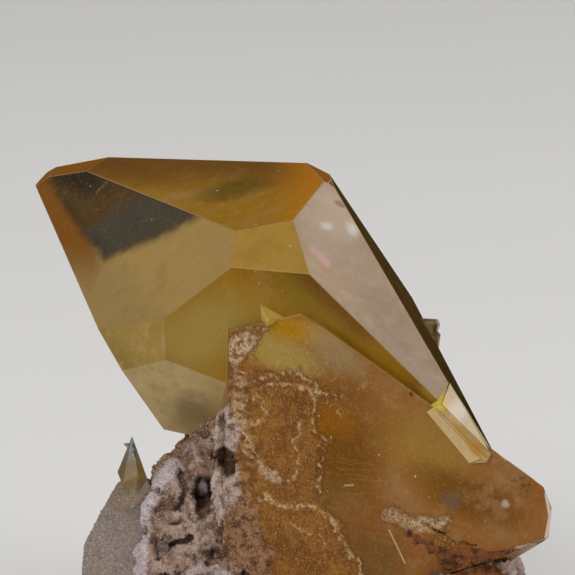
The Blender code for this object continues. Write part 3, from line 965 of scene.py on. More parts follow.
def honey_mesh(edge_width):
    """The honey crystals with their long edges eased, each face marked with its facet."""
    bm = merged_copy("calcite_crystals")
    facet_key = bm.faces.layers.int.new("facet_number")
    for face in bm.faces:
        name = facet_of(face.normal, face.calc_center_median())
        if name is None and (face.calc_center_median() / MM - RIDGE_MIDDLE).length < RIDGE_REACH:
            name = "ridge_end"
        face[facet_key] = FACET_NAMES.index(name or "side")
    long_edges = [
        edge
        for edge in bm.edges
        if len(edge.link_faces) == 2
        and edge.calc_length() > LONG_EDGE
        and edge.calc_face_angle(0.0) > SHARP_EDGE
    ]
    made = bmesh.ops.bevel(
        bm,
        geom=long_edges,
        offset=edge_width,
        offset_type="OFFSET",
        segments=2,
        profile=0.5,
        affect="EDGES",
        clamp_overlap=False,
    )
    for face in made["faces"]:
        if face.is_valid:
            face[facet_key] = FACET_NAMES.index("edge")
    bmesh.ops.triangulate(bm, faces=[face for face in bm.faces if len(face.verts) > 4])
    mesh = mesh_from(bm, "honey_crystals")
    numbers = [item.value for item in mesh.attributes["facet_number"].data]
    # Each facet's colour holds painted light and shade as well as the crystal's tone.
    tones_and_shades = [FACETS[name][2] for name in FACETS] + list(OTHER_FACETS.values())
    facet = mesh.attributes.new("facet", "FLOAT", "CORNER")
    tone = mesh.attributes.new("tone", "FLOAT_COLOR", "CORNER")
    for polygon in mesh.polygons:
        number = numbers[polygon.index]
        for corner in polygon.loop_indices:
            facet.data[corner].value = float(number)
            tone.data[corner].color = (*tones_and_shades[number], 1.0)
    mesh.attributes.remove(mesh.attributes["facet_number"])
    return mesh


# Crusts on the front crystal

# In mm: how far off the face a solid is looked for, and how deep and how proud it may lie.
DRAPE_START = 6.0
DRAPE_DEPTH = 2.0
DRAPE_PROUD = 0.8

# Left of the first and above the second of these, a crust is kept with no solid under it.
OPEN_ACROSS = 240.0
OPEN_DOWN = 520.0

# In mm: how deep a crust reaches into the face, how much deeper at its left, and its lowest place.
CRUST_DEPTH = 0.10
ROOT_DEPTH = 1.6
LOWEST_CRUST = 0.5


def draped(points, outward, kept_left):
    """Points of the front face laid on the solids under them, and whether each found one."""
    trees = []
    for node in ("calcite_crystals", "matrix"):
        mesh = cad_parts[node].data
        corners = [corner.co for corner in mesh.vertices]
        trees.append(BVHTree.FromPolygons(corners, [face.vertices for face in mesh.polygons]))
    laid = points.copy()
    found = np.ones(len(points), bool)
    for i, place in enumerate(points):
        start = Vector(place) + outward * DRAPE_START * MM
        hits = [tree.ray_cast(start, -outward, (DRAPE_START + DRAPE_DEPTH) * MM) for tree in trees]
        reached = [hit[3] / MM for hit in hits if hit[0] is not None]
        if reached:
            proud = DRAPE_START - min(reached)
            if proud < DRAPE_PROUD:
                laid[i] = np.array(start - outward * min(reached) * MM)
        elif not kept_left[i]:
            found[i] = False
    return laid, found


def kept_faces(kept, rows, columns):
    """The kept vertices of a grid that faces use, and those faces."""
    number = np.full(rows * columns, -1)
    number[kept] = np.arange(kept.sum())
    grid = number.reshape(rows, columns)
    corners = np.stack([grid[:-1, :-1], grid[1:, :-1], grid[1:, 1:], grid[:-1, 1:]], axis=-1)
    faces = corners.reshape(-1, 4)
    faces = faces[(faces >= 0).all(axis=1)]
    used = np.unique(faces)
    renumber = np.full(kept.sum(), -1)
    renumber[used] = np.arange(len(used))
    return np.flatnonzero(kept)[used], renumber[faces].tolist()


def slab(name, top, low, faces):
    """A closed mesh between an upper and a lower sheet, joined by walls along their border."""
    count = len(top)
    edges = {}
    for face in faces:
        for start, end in zip(face, face[1:] + face[:1]):
            if (end, start) in edges:
                del edges[(end, start)]
            else:
                edges[(start, end)] = True
    walls = [(end, start, start + count, end + count) for start, end in edges]
    under = [tuple(reversed([corner + count for corner in face])) for face in faces]
    mesh = bpy.data.meshes.new(name)
    mesh.from_pydata(np.vstack([top, low]).tolist(), [], faces + walls + under)
    smooth = [True] * len(faces) + [False] * len(walls) + [True] * len(under)
    mesh.polygons.foreach_set("use_smooth", smooth)
    return mesh


def crust_mesh(name, box, spacing, shape):
    """A thin crust on the front crystal's face. shape gives its cover, height in mm and marks."""
    left, upper, right, lower = box
    columns = int((right - left) / spacing) + 1
    rows = int((lower - upper) / spacing) + 1
    across, down = np.meshgrid(
        left + np.arange(columns) * spacing, upper + np.arange(rows) * spacing
    )
    across, down = across.ravel(), down.ravel()
    outward = FACET_DIRECTIONS["front_face"]
    on_face = (MAIN_MIDDLE + outward * FRONT_PROUD) * MM
    flat = under_steps(across, down, outward, on_face)
    cover, height, marks = shape(across, down, flat)
    wanted = (cover > 0.5) & (flat[:, 2] > LOWEST_CRUST * MM)
    kept = np.zeros(len(wanted), bool)
    open_left = (across[wanted] < OPEN_ACROSS) & (down[wanted] < OPEN_DOWN)
    flat[wanted], kept[wanted] = draped(flat[wanted], outward, open_left)
    index, faces = kept_faces(kept, rows, columns)
    top = flat[index] + np.array(outward) * (height[index, None] * MM)
    sunk = CRUST_DEPTH + ROOT_DEPTH * ramp(across[index], 234.0, 227.0)
    low = flat[index] - np.array(outward) * (sunk[:, None] * MM)
    low[:, 2] = np.maximum(low[:, 2], 0.0)
    mesh = slab(name, top, low, faces)
    for key, values in marks.items():
        below = values[index] if key == "fade" else np.zeros(len(index))
        mark(mesh, key, np.concatenate([values[index], below]))
    mesh.update()
    return mesh


LEFT_CRUST_OUTLINE = [
    (227, 333), (246, 327), (268, 323), (276, 326), (264, 340), (252, 352), (256, 366), (276, 371),
    (298, 368),
    (313, 378), (326, 384), (342, 398), (326, 402), (318, 408), (319, 432), (334, 438), (336, 446),
    (322, 452), (320, 470), (326, 482), (320, 492), (332, 504), (344, 520), (350, 542), (364, 560),
    (368, 590), (352, 612), (330, 640), (216, 640), (210, 577), (211, 520), (212, 480), (213, 452),
    (215, 418), (225, 402), (226, 380),
]
VEINS = (
    ([(256, 381), (266, 377), (279, 376), (290, 372), (304, 373)], 1.6),
    ([(262, 390), (276, 384), (292, 383), (308, 387), (318, 396)], 0.9),
    ([(304, 373), (312, 382), (323, 392), (338, 400)], 1.4),
    ([(296, 372), (306, 364), (318, 369), (328, 362)], 0.7),
    ([(316, 384), (324, 374), (334, 368)], 0.6),
    ([(314, 394), (316, 410), (314, 422), (317, 433), (331, 438)], 0.9),
    ([(320, 446), (327, 454), (319, 462), (324, 474), (316, 482), (320, 492)], 1.0),
    ([(300, 420), (296, 440), (300, 462), (292, 480)], 0.6),
    ([(240, 412), (246, 401), (257, 397), (266, 405), (267, 415), (259, 423), (248, 424), (240, 412)], 1.3),
    ([(262, 496), (282, 503), (297, 508), (311, 505), (324, 510)], 2.0),
    ([(324, 510), (336, 526), (347, 546), (360, 565), (368, 590)], 2.2),
    ([(286, 520), (300, 530), (318, 534), (332, 548)], 0.7),
    ([(240, 356), (244, 374), (239, 390), (236, 405), (241, 420), (248, 436), (250, 450)], 2.0),
    ([(250, 450), (258, 462), (268, 470), (278, 481)], 1.6),
)
LEFT_STRIP = [(226, 352), (250, 352), (254, 440), (256, 500), (250, 520), (240, 500), (228, 440)]
HOLE_OUTLINE = [
    (212, 456), (218, 449), (226, 447), (234, 452), (238, 463), (235, 475), (226, 477), (219, 470),
]
ROSY_OUTLINE = [
    (214, 406), (233, 402), (241, 425), (239, 450), (243, 476), (240, 498), (228, 510), (222, 540),
    (216, 577), (212, 577), (212, 500),
]
EARTHY_OUTLINE = [
    (212, 494), (244, 488), (254, 506), (262, 530), (270, 560), (276, 590), (282, 640), (206, 640),
]


def left_crust_shape(across, down, flat):
    """The broad sugary crust on the front crystal's left, with pale veins and rock along its edge."""
    broad = noise_at(flat, 2.2 * MM, 1.0)
    small = noise_at(flat, 0.7 * MM, 2.0)
    tiny = noise_at(flat, 0.33 * MM, 3.0)
    wander = 0.15 + 0.85 * ramp(across, 229.0, 240.0)
    wavy_across = across + (broad * 5.0 + small * 3.0) * wander
    wavy_down = down + (noise_at(flat, 1.9 * MM, 4.0) * 5.0 - small * 2.0) * wander
    wavy = (wavy_across, wavy_down)
    wide = in_outline(*wavy, LEFT_CRUST_OUTLINE, 16.0)
    thinning = ramp(across, 236.0, 250.0)
    cover = in_outline(*wavy, LEFT_CRUST_OUTLINE, 4.0) * (1.0 - thinning)
    cover = cover + ramp(wide, 0.19, 0.44) * thinning
    vein = np.zeros(across.shape)
    for line, half_width in VEINS:
        vein = np.maximum(vein, near_line(*wavy, line, 0.7 * half_width, 2.2))
    vein = vein * ramp(small + 0.6 * tiny, -0.55, 0.15)
    strip = in_outline(*wavy, LEFT_STRIP, 5.0)
    pale = near_line(*wavy, [(232, 352), (246, 342)], 7.0, 6.0)
    pale = np.maximum(pale, near_line(*wavy, [(246, 342), (268, 327)], 3.0, 5.0) * 0.8)
    pale = pale * ramp(small + 0.4 * tiny, -0.5, 0.2)
    pale = np.maximum(pale, in_oval(*wavy, (240, 392), (8, 40), 0.6) * 0.45 * ramp(small, -0.2, 0.4))
    pale = np.maximum(pale, vein * 0.5 * ramp(small, -0.3, 0.3))
    pale = np.maximum(pale, near_line(*wavy, [(262, 466), (278, 482)], 3.0, 3.0) * 0.6)
    rosy = in_outline(across + broad * 6.0, wavy_down, ROSY_OUTLINE, 3.0)
    earthy = in_outline(across + broad * 9.0, wavy_down, EARTHY_OUTLINE, 6.0)
    # The hole and a dark spot: sunk, and marked to be darkened with painted shade.
    hollow = in_outline(across + small * 2.5, down + broad * 2.5 + tiny, HOLE_OUTLINE, 2.0)
    hollow = np.maximum(hollow, in_oval(*wavy, (270, 563), (4.5, 4.0), 0.5) * 0.8)
    orange_gap = in_oval(*wavy, (247, 364), (7, 7), 0.5)
    cover = cover * (1.0 - orange_gap)
    edge = ramp(wide, 1.02, 0.46) * (1.0 - 0.6 * vein) * (1.0 - 0.45 * pale)
    edge = np.maximum(edge, ramp(wide, 0.44, 0.33)) * thinning
    rim = ramp(cover, 0.5, 0.8)
    height = 0.05 + 0.08 * (small + 1.0) / 2.0 + 0.08 * np.abs(tiny) + 0.07 * vein + 0.07 * pale
    height = height * rim + 0.01
    crag = 0.45 + 0.35 * broad + 0.35 * small + 0.2 * tiny
    height = height + np.maximum(rosy * 1.3, earthy * 0.6) * np.maximum(crag, 0.05) * rim
    height = height * (1.0 - 0.9 * hollow) + 0.05 * hollow
    grain = np.clip(cover - 0.4, 0.0, 1.0) * (1.0 - 0.6 * strip) * (1.0 - 0.85 * pale)
    grain = grain * (1.0 - edge)
    grain = grain * (1.0 - 0.9 * np.maximum(rosy, 0.5 * earthy)) * (1.0 - 0.7 * vein) * (1.0 - hollow)
    marks = {"vein": vein, "pale": pale, "strip": strip, "rosy": rosy, "earthy": earthy}
    marks.update({"hollow": hollow, "fade": edge, "grain": grain})
    return cover, height, marks


RIGHT_CRUST_OUTLINE = [
    (379, 512), (383, 505), (396, 506), (410, 517), (424, 515), (436, 519), (450, 514), (452, 522),
    (444, 530), (452, 538), (470, 545), (496, 551), (520, 547), (540, 541), (545, 546), (530, 560),
    (524, 600), (510, 634), (440, 634), (446, 590), (440, 560), (424, 548), (408, 540), (396, 528),
    (384, 520),
]
RUST_LINE = [(412, 538), (430, 549), (448, 553), (480, 553), (512, 551)]
SHORT_CRACK = [(434, 529), (446, 534)]
LONG_CRACK = [(452, 538), (466, 543), (478, 546)]


def right_crust_shape(across, down, flat):
    """The rough ledge under the front crystal's right: pale above, rust red and brown below."""
    broad = noise_at(flat, 2.6 * MM, 11.0)
    small = noise_at(flat, 0.8 * MM, 12.0)
    tiny = noise_at(flat, 0.35 * MM, 13.0)
    wavy_across = across + broad * 6.0 + small * 3.0
    wavy_down = down + noise_at(flat, 2.0 * MM, 14.0) * 5.0 - small * 2.0
    wavy = (wavy_across, wavy_down)
    wide = in_outline(*wavy, RIGHT_CRUST_OUTLINE, 12.0)
    thinning = ramp(wavy_down, 550.0, 540.0)
    cover = in_outline(*wavy, RIGHT_CRUST_OUTLINE, 4.0) * (1.0 - thinning)
    cover = cover + ramp(wide, 0.21, 0.46) * thinning
    rusty = near_line(*wavy, RUST_LINE, 3.5, 4.0)
    below = ramp(wavy_down - 0.05 * wavy_across, 526.0, 536.0) * ramp(wavy_across, 436.0, 446.0)
    pale = ramp(wavy_down, 536.0, 522.0) * ramp(small, -0.7, 0.1)
    pale = pale * (0.5 + 0.5 * ramp(wavy_across, 395.0, 430.0))
    pale = np.maximum(pale, ramp(wavy_across, 505.0, 525.0) * ramp(small, -0.5, 0.2) * 0.9)
    crag = 0.9 + 0.6 * broad + 0.45 * small + 0.25 * tiny
    height = 0.06 + 0.14 * (small + 1.0) / 2.0 + 0.14 * np.abs(tiny) + below * np.maximum(crag, 0.1)
    height = height * ramp(cover, 0.5, 0.8) + 0.01
    edge = np.maximum(ramp(wide, 0.92, 0.38) * (1.0 - 0.4 * pale), ramp(wide, 0.46, 0.34)) * thinning
    # Cracks, drawn as dark lines of painted shade.
    cracks = near_line(across + tiny, down, SHORT_CRACK, 0.9, 1.0)
    cracks = np.maximum(cracks, near_line(across + tiny, down, LONG_CRACK, 0.8, 1.0))
    grain = np.clip(cover - 0.3, 0.0, 1.0)
    red = np.maximum(rusty, below * (0.85 + 0.5 * small)) * (1.0 - ramp(wavy_across, 508.0, 524.0))
    red = np.clip(red, 0.0, 1.0)
    grain = grain * (1.0 - 0.8 * red) * (1.0 - 0.6 * pale) * (1.0 - edge)
    marks = {"vein": pale * 0.5, "pale": pale * 0.85, "red": red, "grain": grain}
    marks.update({"rosy": ramp(wavy_across, 500.0, 520.0), "hollow": cracks, "fade": edge})
    return cover, height, marks


# Scattered grains


MARKS = (
    "grain", "vein", "pale", "red", "strip", "rosy", "earthy", "hollow", "fade", "warm", "rim", "lilac",
)


RHOMB = (1.0, 0.8, 1.25)
FULL_TURN = (6.28, 6.28, 6.28)
TURN_SEED = 5


def grain_tree(name, material):
    """Geometry nodes that scatter rhomb-shaped grains on a surface, by its grain mark."""
    tree = bpy.data.node_groups.new(name, "GeometryNodeTree")
    sockets = tree.interface
    for label, kind in (
        ("Surface", "Geometry"),
        ("Grains per square metre", "Float"),
        ("Smallest grain", "Float"),
        ("Largest grain", "Float"),
        ("Seed", "Int"),
    ):
        sockets.new_socket(label, in_out="INPUT", socket_type="NodeSocket" + kind)
    sockets.new_socket("Grains", in_out="OUTPUT", socket_type="NodeSocketGeometry")

    def add(*about):
        """A node in this tree."""
        return add_node(tree, *about)

    given = add("NodeGroupInput").outputs
    cover = add("GeometryNodeInputNamedAttribute", {"data_type": "FLOAT"}, {"Name": "grain"})
    density = add("ShaderNodeMath", {"operation": "MULTIPLY"}, {0: given[1], 1: cover.outputs[0]})
    points = add(
        "GeometryNodeDistributePointsOnFaces",
        {"distribute_method": "RANDOM"},
        {"Mesh": given[0], "Density": density.outputs[0], "Seed": given[4]},
    )
    rhomb = add("GeometryNodeMeshCube", {}, {"Size": RHOMB})
    size = add(
        "FunctionNodeRandomValue", {"data_type": "FLOAT"}, {2: given[2], 3: given[3], "Seed": given[4]}
    )
    turn = add(
        "FunctionNodeRandomValue",
        {"data_type": "FLOAT_VECTOR"},
        {0: (0.0, 0.0, 0.0), 1: FULL_TURN, "Seed": TURN_SEED},
    )
    placed = add(
        "GeometryNodeInstanceOnPoints",
        {},
        {
            "Points": points.outputs[0],
            "Instance": rhomb.outputs[0],
            "Rotation": turn.outputs[0],
            "Scale": size.outputs[1],
        },
    )
    real = add("GeometryNodeRealizeInstances", {}, {0: placed.outputs[0]})
    painted = add("GeometryNodeSetMaterial", {}, {"Geometry": real.outputs[0], "Material": material})
    add("NodeGroupOutput", {}, {0: painted.outputs[0]})
    return tree


def scattered(name, host, material, density, smallest, largest, seed):
    """Grains on a surface, as a plain mesh in a piece of its own."""
    tree = grain_tree(name, material)
    modifier = host.modifiers.new(name, "NODES")
    modifier.node_group = tree
    values = {
        "Grains per square metre": density,
        "Smallest grain": smallest,
        "Largest grain": largest,
        "Seed": seed,
    }
    for item in tree.interface.items_tree:
        if item.name in values and item.in_out == "INPUT":
            modifier[item.identifier] = values[item.name]
    graph = bpy.context.evaluated_depsgraph_get()
    mesh = bpy.data.meshes.new_from_object(host.evaluated_get(graph))
    host.modifiers.remove(modifier)
    mesh.name = name
    for name_of_mark in MARKS:
        if name_of_mark in mesh.attributes:
            mesh.attributes.remove(mesh.attributes[name_of_mark])
    return new_piece(name, mesh)


# The matrix


RIM_LINE = [(174, 466), (158, 482), (149, 500), (143, 520), (140, 545), (138, 580)]
LEFT_SHIFT_AT = (468, 482, 494, 506, 520, 535, 550, 575, 600)
LEFT_SHIFT = (0.2, 0.3, 0.1, -0.3, -0.7, -0.5, 0.2, 0.9, 0.9)
WARM_LINE = [(146, 474), (156, 464), (168, 456), (188, 436), (232, 408)]
BAND_LINE = [(190, 572), (208, 568), (228, 574)]

# Ovals and grooves sunk in the rock: their outlines, then depth in mm and how much painted shade darkens
# them.
HOLLOW_OVAL = ((203, 493), (11, 15), 0.22)
SUNK_OVALS = (
    (((225, 462), (10, 11), 0.25), 4.6, 1.0),
    (HOLLOW_OVAL, 3.8, 0.9),
    (((213, 554), (13, 5), 0.3), 2.2, 0.8),
)
SUNK_GROOVES = (
    (([(155, 556), (170, 546), (190, 538)], 2.2, 2.0), 2.0, 0.8),
    (([(180, 474), (184, 488), (178, 508)], 2.6, 2.2), 1.8, 0.7),
    (([(220, 520), (230, 505), (238, 495)], 1.5, 2.0), 1.4, 0.6),
)
KERNEL_OVAL = ((203, 488), (5.5, 7.5), 0.3)
KERNEL_HEIGHT = 2.6
SHOULDER_OVAL = ((176, 446), (26, 17), 0.4)
SHOULDER_HEIGHT = 1.3
RIGHT_END_IN = 1.7


def rock_mesh(spacing, roughness):
    """The matrix with its pores, hollows, grooves and rough pale rim."""
    bm = merged_copy("matrix")
    bmesh.ops.triangulate(bm, faces=bm.faces)
    mesh = evened(mesh_from(bm, "matrix_rough"), spacing, "matrix_rock")
    places, outward = vertex_arrays(mesh)
    across, down = front_steps(places)
    facing = facing_eye(outward, -0.25, 0.10)
    wide = noise_at(places, 3.4 * MM, 21.0)
    mid = noise_at(places, 1.5 * MM, 22.0)
    small = noise_at(places, 0.75 * MM, 23.0)
    fine = noise_at(places, 0.42 * MM, 26.0)
    near, pick = cells_at(places + np.outer(small, (0.3, 0.3, 0.3)) * MM, 2.7 * MM, 24.0)
    wide_pores = ramp(near / (0.65 + 0.55 * np.abs(pick)), 0.52, 0.26) * (pick > -0.2)
    near, pick = cells_at(places + np.outer(fine, (0.2, 0.2, 0.2)) * MM, 1.15 * MM, 25.0)
    small_pores = ramp(near / (0.55 + 0.7 * np.abs(pick)), 0.50, 0.22) * (pick > -0.15)
    wavy = (across + wide * 4.0 + small * 2.0, down + mid * 3.0)
    at_front = facing_eye(outward, -0.55, -0.10) * ramp(places[:, 1], 0.0, -3.0 * MM)
    rim = near_line(across + small * 1.5, down, RIM_LINE, 5.0, 3.0) * at_front
    band = near_line(*wavy, BAND_LINE, 3.0, 3.0) * facing
    kernel = in_oval(across, down, *KERNEL_OVAL) * facing
    sink = -KERNEL_HEIGHT * kernel * in_oval(*wavy, *HOLLOW_OVAL) * facing
    dark = -kernel
    sunk = [(in_oval(*wavy, *shape) * facing, depth, shade) for shape, depth, shade in SUNK_OVALS]
    sunk += [(near_line(*wavy, *shape) * facing, depth, shade) for shape, depth, shade in SUNK_GROOVES]
    for mask, depth, shade in sunk:
        sink = sink + depth * mask
        dark = dark + shade * mask
    dark = np.clip(dark, 0.0, 1.0)
    smoothness = np.clip(rim * 0.75 + band * 0.8, 0.0, 1.0)
    ridged = 0.5 - np.abs(mid) * 1.8
    rough = 0.55 * wide + 0.50 * ridged + 0.35 * small + 0.25 * fine
    rough = rough - 1.25 * wide_pores - 0.55 * small_pores
    lift = roughness / MM * rough * (1.0 - smoothness) + 0.45 * rim
    standing = ramp(places[:, 2], 0.3 * MM, 1.6 * MM)
    moved = places + outward * (lift * standing * MM)[:, None]
    moved += np.array(FORWARD) * (sink * MM)[:, None]
    shoulder = in_oval(across, down, *SHOULDER_OVAL) * facing
    moved += np.array(UPWARD) * (shoulder * SHOULDER_HEIGHT * MM)[:, None]
    outer = ramp(across, 190.0, 160.0) * ramp(places[:, 1], 2.0 * MM, -6.0 * MM)
    moved[:, 0] += np.interp(down, LEFT_SHIFT_AT, LEFT_SHIFT) * outer * MM
    right_end = ramp(across, 500.0, 530.0) * ramp(down, 538.0, 552.0)
    right_end = right_end * ramp(places[:, 1], -12.0 * MM, -20.0 * MM)
    moved[:, 0] -= RIGHT_END_IN * MM * right_end
    moved[:, 2] = np.maximum(moved[:, 2], 0.0)
    move_vertices(mesh, moved)
    across, down = front_steps(moved)
    rim = near_line(across + small * 1.5, down, RIM_LINE, 6.0, 4.0) * at_front
    low = ramp(rough, -0.1, -1.0) * (1.0 - smoothness)
    warm = ramp(across, 206.0, 236.0) * ramp(down, 480.0, 430.0) * facing * 0.6
    warm = np.maximum(warm, near_line(across + small * 3.0, down, WARM_LINE, 3.5, 4.0) * facing)
    red = ramp(across, 380.0, 430.0)
    # The hollows, grooves and low places are marked to be darkened with painted shade.
    mark(mesh, "hollow", np.maximum(dark, 0.7 * low))
    mark(mesh, "warm", np.clip(warm, 0.0, 1.0))
    mark(mesh, "rim", np.clip(rim + band * 0.7, 0.0, 1.0) * (1.0 - 0.7 * low))
    mark(mesh, "lilac", kernel)
    pink = ramp(across, 494.0, 510.0) * ramp(down, 530.0, 545.0) * ramp(down, 604.0, 576.0)
    pink = pink * facing_eye(outward, -0.3, 0.3) * ramp(wide, -0.8, 0.2)
    mark(mesh, "rosy", pink)
    mark(mesh, "red", red * ramp(wide, -0.5, 0.3) * (1.0 - pink))
    above = ramp(places[:, 2], 0.5 * MM, 1.2 * MM)
    mark(mesh, "grain", np.clip(1.0 - dark - low - 0.5 * smoothness, 0.0, 1.0) * above)
    return mesh


# The frosted crystal


FROSTED_MIDDLE = Vector((-25.0, -8.0, 10.0))
TOOTH_FOOT_OVAL = ((131, 500), (13, 10), 0.6)
TOOTH_FOOT_HEIGHT = 0.7 * MM


def frosted_mesh(spacing, sand):
    """The frosted crystal's body with eased edges and a sandy skin."""
    planes = []
    for direction, point in FROSTED_CUTS:
        outward = Vector(direction).normalized()
        planes.append((outward, outward.dot(Vector(point) - FROSTED_MIDDLE)))
    bm = cut_solid(FROSTED_MIDDLE + SHIFT, Matrix.Identity(3), planes)
    mesh = evened(mesh_from(bm, "frosted_rough"), spacing, "frosted_body")
    places, outward = vertex_arrays(mesh)
    tiny = noise_at(places, 0.5 * MM, 31.0)
    small = noise_at(places, 1.4 * MM, 32.0)
    wide = noise_at(places, 5.0 * MM, 33.0)
    lift = sand * (0.5 * tiny + 0.6 * small + 1.0 * wide) - 0.0001
    across, down = front_steps(places)
    facing = facing_eye(outward, 0.2, 0.6)
    foot = in_oval(across + 3.0 * small, down + 4.0 * tiny, *TOOTH_FOOT_OVAL) * facing
    lift = lift + TOOTH_FOOT_HEIGHT * foot
    standing = ramp(places[:, 2], 0.2 * MM, 1.0 * MM)
    moved = places + outward * (lift * standing)[:, None]
    moved[:, 2] = np.maximum(moved[:, 2], 0.0)
    move_vertices(mesh, moved)
    above = ramp(places[:, 2], 0.5 * MM, 1.2 * MM)
    mark(mesh, "grain", np.clip(0.5 + 0.6 * small, 0.0, 1.0) * above)
    return mesh


# Settings


class HoneyLook(bpy.types.PropertyGroup):
    """The honey crystals."""

    clear: bpy.props.FloatProperty(
        name="Clearness", description="Share of light that passes into the crystal",
        default=0.55, min=0.0, max=1.0,
    )
    roughness: bpy.props.FloatProperty(
        name="Haze", description="Roughness of the crystal under its gloss",
        default=0.28, min=0.0, max=1.0,
    )
    ior: bpy.props.FloatProperty(
        name="Refraction", description="Index of refraction of calcite",
        default=1.6, min=1.0, max=3.0,
    )
    gloss_colour: bpy.props.FloatVectorProperty(
        name="Gloss colour", description="Tint of the reflections",
        default=(0.92, 0.58, 0.14), subtype="COLOR",
    )
    depth_colour: bpy.props.FloatVectorProperty(
        name="Depth colour", description="Colour that deep crystal takes",
        default=(0.98, 0.74, 0.26), subtype="COLOR",
    )
    depth: bpy.props.FloatProperty(
        name="Depth", description="How fast light takes the depth colour, per metre",
        default=28.0, min=0.0,
    )
    edge_width: bpy.props.FloatProperty(
        name="Edge width", description="Width of the eased edges",
        default=0.00008, subtype="DISTANCE", unit="LENGTH",
    )


class CrustLook(bpy.types.PropertyGroup):
    """The crusts on the front crystal."""

    spacing: bpy.props.FloatProperty(
        name="Spacing", description="Steps of the front plane between vertices",
        default=0.86, min=0.2,
    )
    brown: bpy.props.FloatVectorProperty(
        name="Brown", description="Colour of the sugary crust",
        default=(0.18, 0.057, 0.004), subtype="COLOR",
    )
    strip: bpy.props.FloatVectorProperty(
        name="Left strip", description="Colour of the thin crust along the left",
        default=(0.16, 0.050, 0.008), subtype="COLOR",
    )
    vein: bpy.props.FloatVectorProperty(
        name="Vein", description="Colour of the veins",
        default=(0.56, 0.34, 0.115), subtype="COLOR",
    )
    white: bpy.props.FloatVectorProperty(
        name="White", description="Colour of the palest crust",
        default=(0.72, 0.60, 0.42), subtype="COLOR",
    )
    grains: bpy.props.FloatProperty(
        name="Grains", description="Grains per square metre", default=6.0e6, min=0.0
    )
    smallest: bpy.props.FloatProperty(
        name="Smallest grain", description="Size of the smallest grain",
        default=0.00010, subtype="DISTANCE", unit="LENGTH",
    )
    largest: bpy.props.FloatProperty(
        name="Largest grain", description="Size of the largest grain",
        default=0.00019, subtype="DISTANCE", unit="LENGTH",
    )


class RockLook(bpy.types.PropertyGroup):
    """The porous matrix."""

    spacing: bpy.props.FloatProperty(
        name="Spacing", description="Distance between vertices",
        default=0.00037, subtype="DISTANCE", unit="LENGTH",
    )
    roughness: bpy.props.FloatProperty(
        name="Roughness", description="Height of the rough surface",
        default=0.0010, subtype="DISTANCE", unit="LENGTH",
    )
    rosy: bpy.props.FloatVectorProperty(
        name="Rosy white", description="Colour of the fresh rock",
        default=(0.46, 0.325, 0.260), subtype="COLOR",
    )
    rim: bpy.props.FloatVectorProperty(
        name="Rim", description="Colour of the smooth rim",
        default=(0.68, 0.60, 0.62), subtype="COLOR",
    )
    grains: bpy.props.FloatProperty(
        name="Grains", description="Grains per square metre", default=1.1e6, min=0.0
    )


class FrostLook(bpy.types.PropertyGroup):
    """The frosted crystal."""

    spacing: bpy.props.FloatProperty(
        name="Spacing", description="Distance between vertices",
        default=0.00028, subtype="DISTANCE", unit="LENGTH",
    )
    sand: bpy.props.FloatProperty(
        name="Sand", description="Height of the sandy skin",
        default=0.00010, subtype="DISTANCE", unit="LENGTH",
    )
    grey: bpy.props.FloatVectorProperty(
        name="Grey", description="Colour of the frosted crystal",
        default=(0.26, 0.200, 0.172), subtype="COLOR",
    )
    grains: bpy.props.FloatProperty(
        name="Grains", description="Grains per square metre", default=3.0e6, min=0.0
    )


class StageLook(bpy.types.PropertyGroup):
    """The floor and the lights."""

    floor: bpy.props.FloatVectorProperty(
        name="Floor", description="Colour of the floor",
        default=(0.74, 0.73, 0.71), subtype="COLOR",
    )
    key: bpy.props.FloatProperty(
        name="Key light", description="Power of the main light",
        default=11.0, subtype="POWER",
    )
    fill: bpy.props.FloatProperty(
        name="Fill light", description="Power of the side light",
        default=5.0, subtype="POWER",
    )
    back: bpy.props.FloatProperty(
        name="Top light", description="Power of the light above",
        default=3.0, subtype="POWER",
    )
    floor_glow: bpy.props.FloatProperty(
        name="Floor glow", description="Light that the floor gives",
        default=0.28,
    )
    ambient: bpy.props.FloatProperty(
        name="Ambient", description="Strength of the light all round",
        default=0.22,
    )


# The floor rises in a curve to a wall behind. Lights: name, place, width, and the setting of power.
FLOOR_FRONT = -3.0
CURVE_START = 2.6
CURVE_RADIUS = 0.8
WALL_TOP = 3.0
HALF_FLOOR = 4.0
LIGHTS = (
    ("key_light", (-0.75, -1.05, 1.05), 0.9, "key"),
    ("fill_light", (1.05, -0.75, 0.55), 0.9, "fill"),
    ("top_light", (0.75, 0.45, 1.10), 0.7, "back"),
)
LIT_PLACE = Vector((0.0, 0.0, 0.04))
SENSOR_WIDTH = 36.0

# Crusts: name, left, upper, right and lower limits on the front plane, shape, and the grains' seed.
CRUSTS = (
    ("left_crust", (208, 322, 376, 648), left_crust_shape, 3),
    ("right_crust", (374, 498, 552, 648), right_crust_shape, 4),
)

# The smallest and the largest grain, and the seed of their places.
ROCK_GRAINS = (0.00012, 0.00030, 7)
FROST_GRAINS = (0.00010, 0.00024, 9)
TOOTH_SLENDER = 0.84


# Operators


class CALCITE_OT_honey_crystals(bpy.types.Operator):
    """Builds the honey crystals"""

    bl_idname = "calcite.honey_crystals"
    bl_label = "Honey crystals"

    def execute(self, context):
        look = context.scene.calcite_honey
        piece = new_piece("honey_crystals", honey_mesh(look.edge_width), honey_material(look))
        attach(piece, "root")
        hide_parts("calcite_crystals")
        return {"FINISHED"}


class CALCITE_OT_crusts(bpy.types.Operator):
    """Builds the crusts on the front crystal and their grains"""

    bl_idname = "calcite.crusts"
    bl_label = "Crusts"

    def execute(self, context):
        look = context.scene.calcite_crust
        material = crust_material(look)
        grain = grain_material("crust_grain", (0.17, 0.055, 0.006), (0.42, 0.21, 0.055))
        for name, box, shape, seed in CRUSTS:
            piece = new_piece(name, crust_mesh(name, box, look.spacing, shape), material)
            sizes = (look.smallest, look.largest)
            grains = scattered(name + "_grains", piece, grain, look.grains, *sizes, seed)
            for part in (piece, grains):
                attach(part, "root")
        return {"FINISHED"}


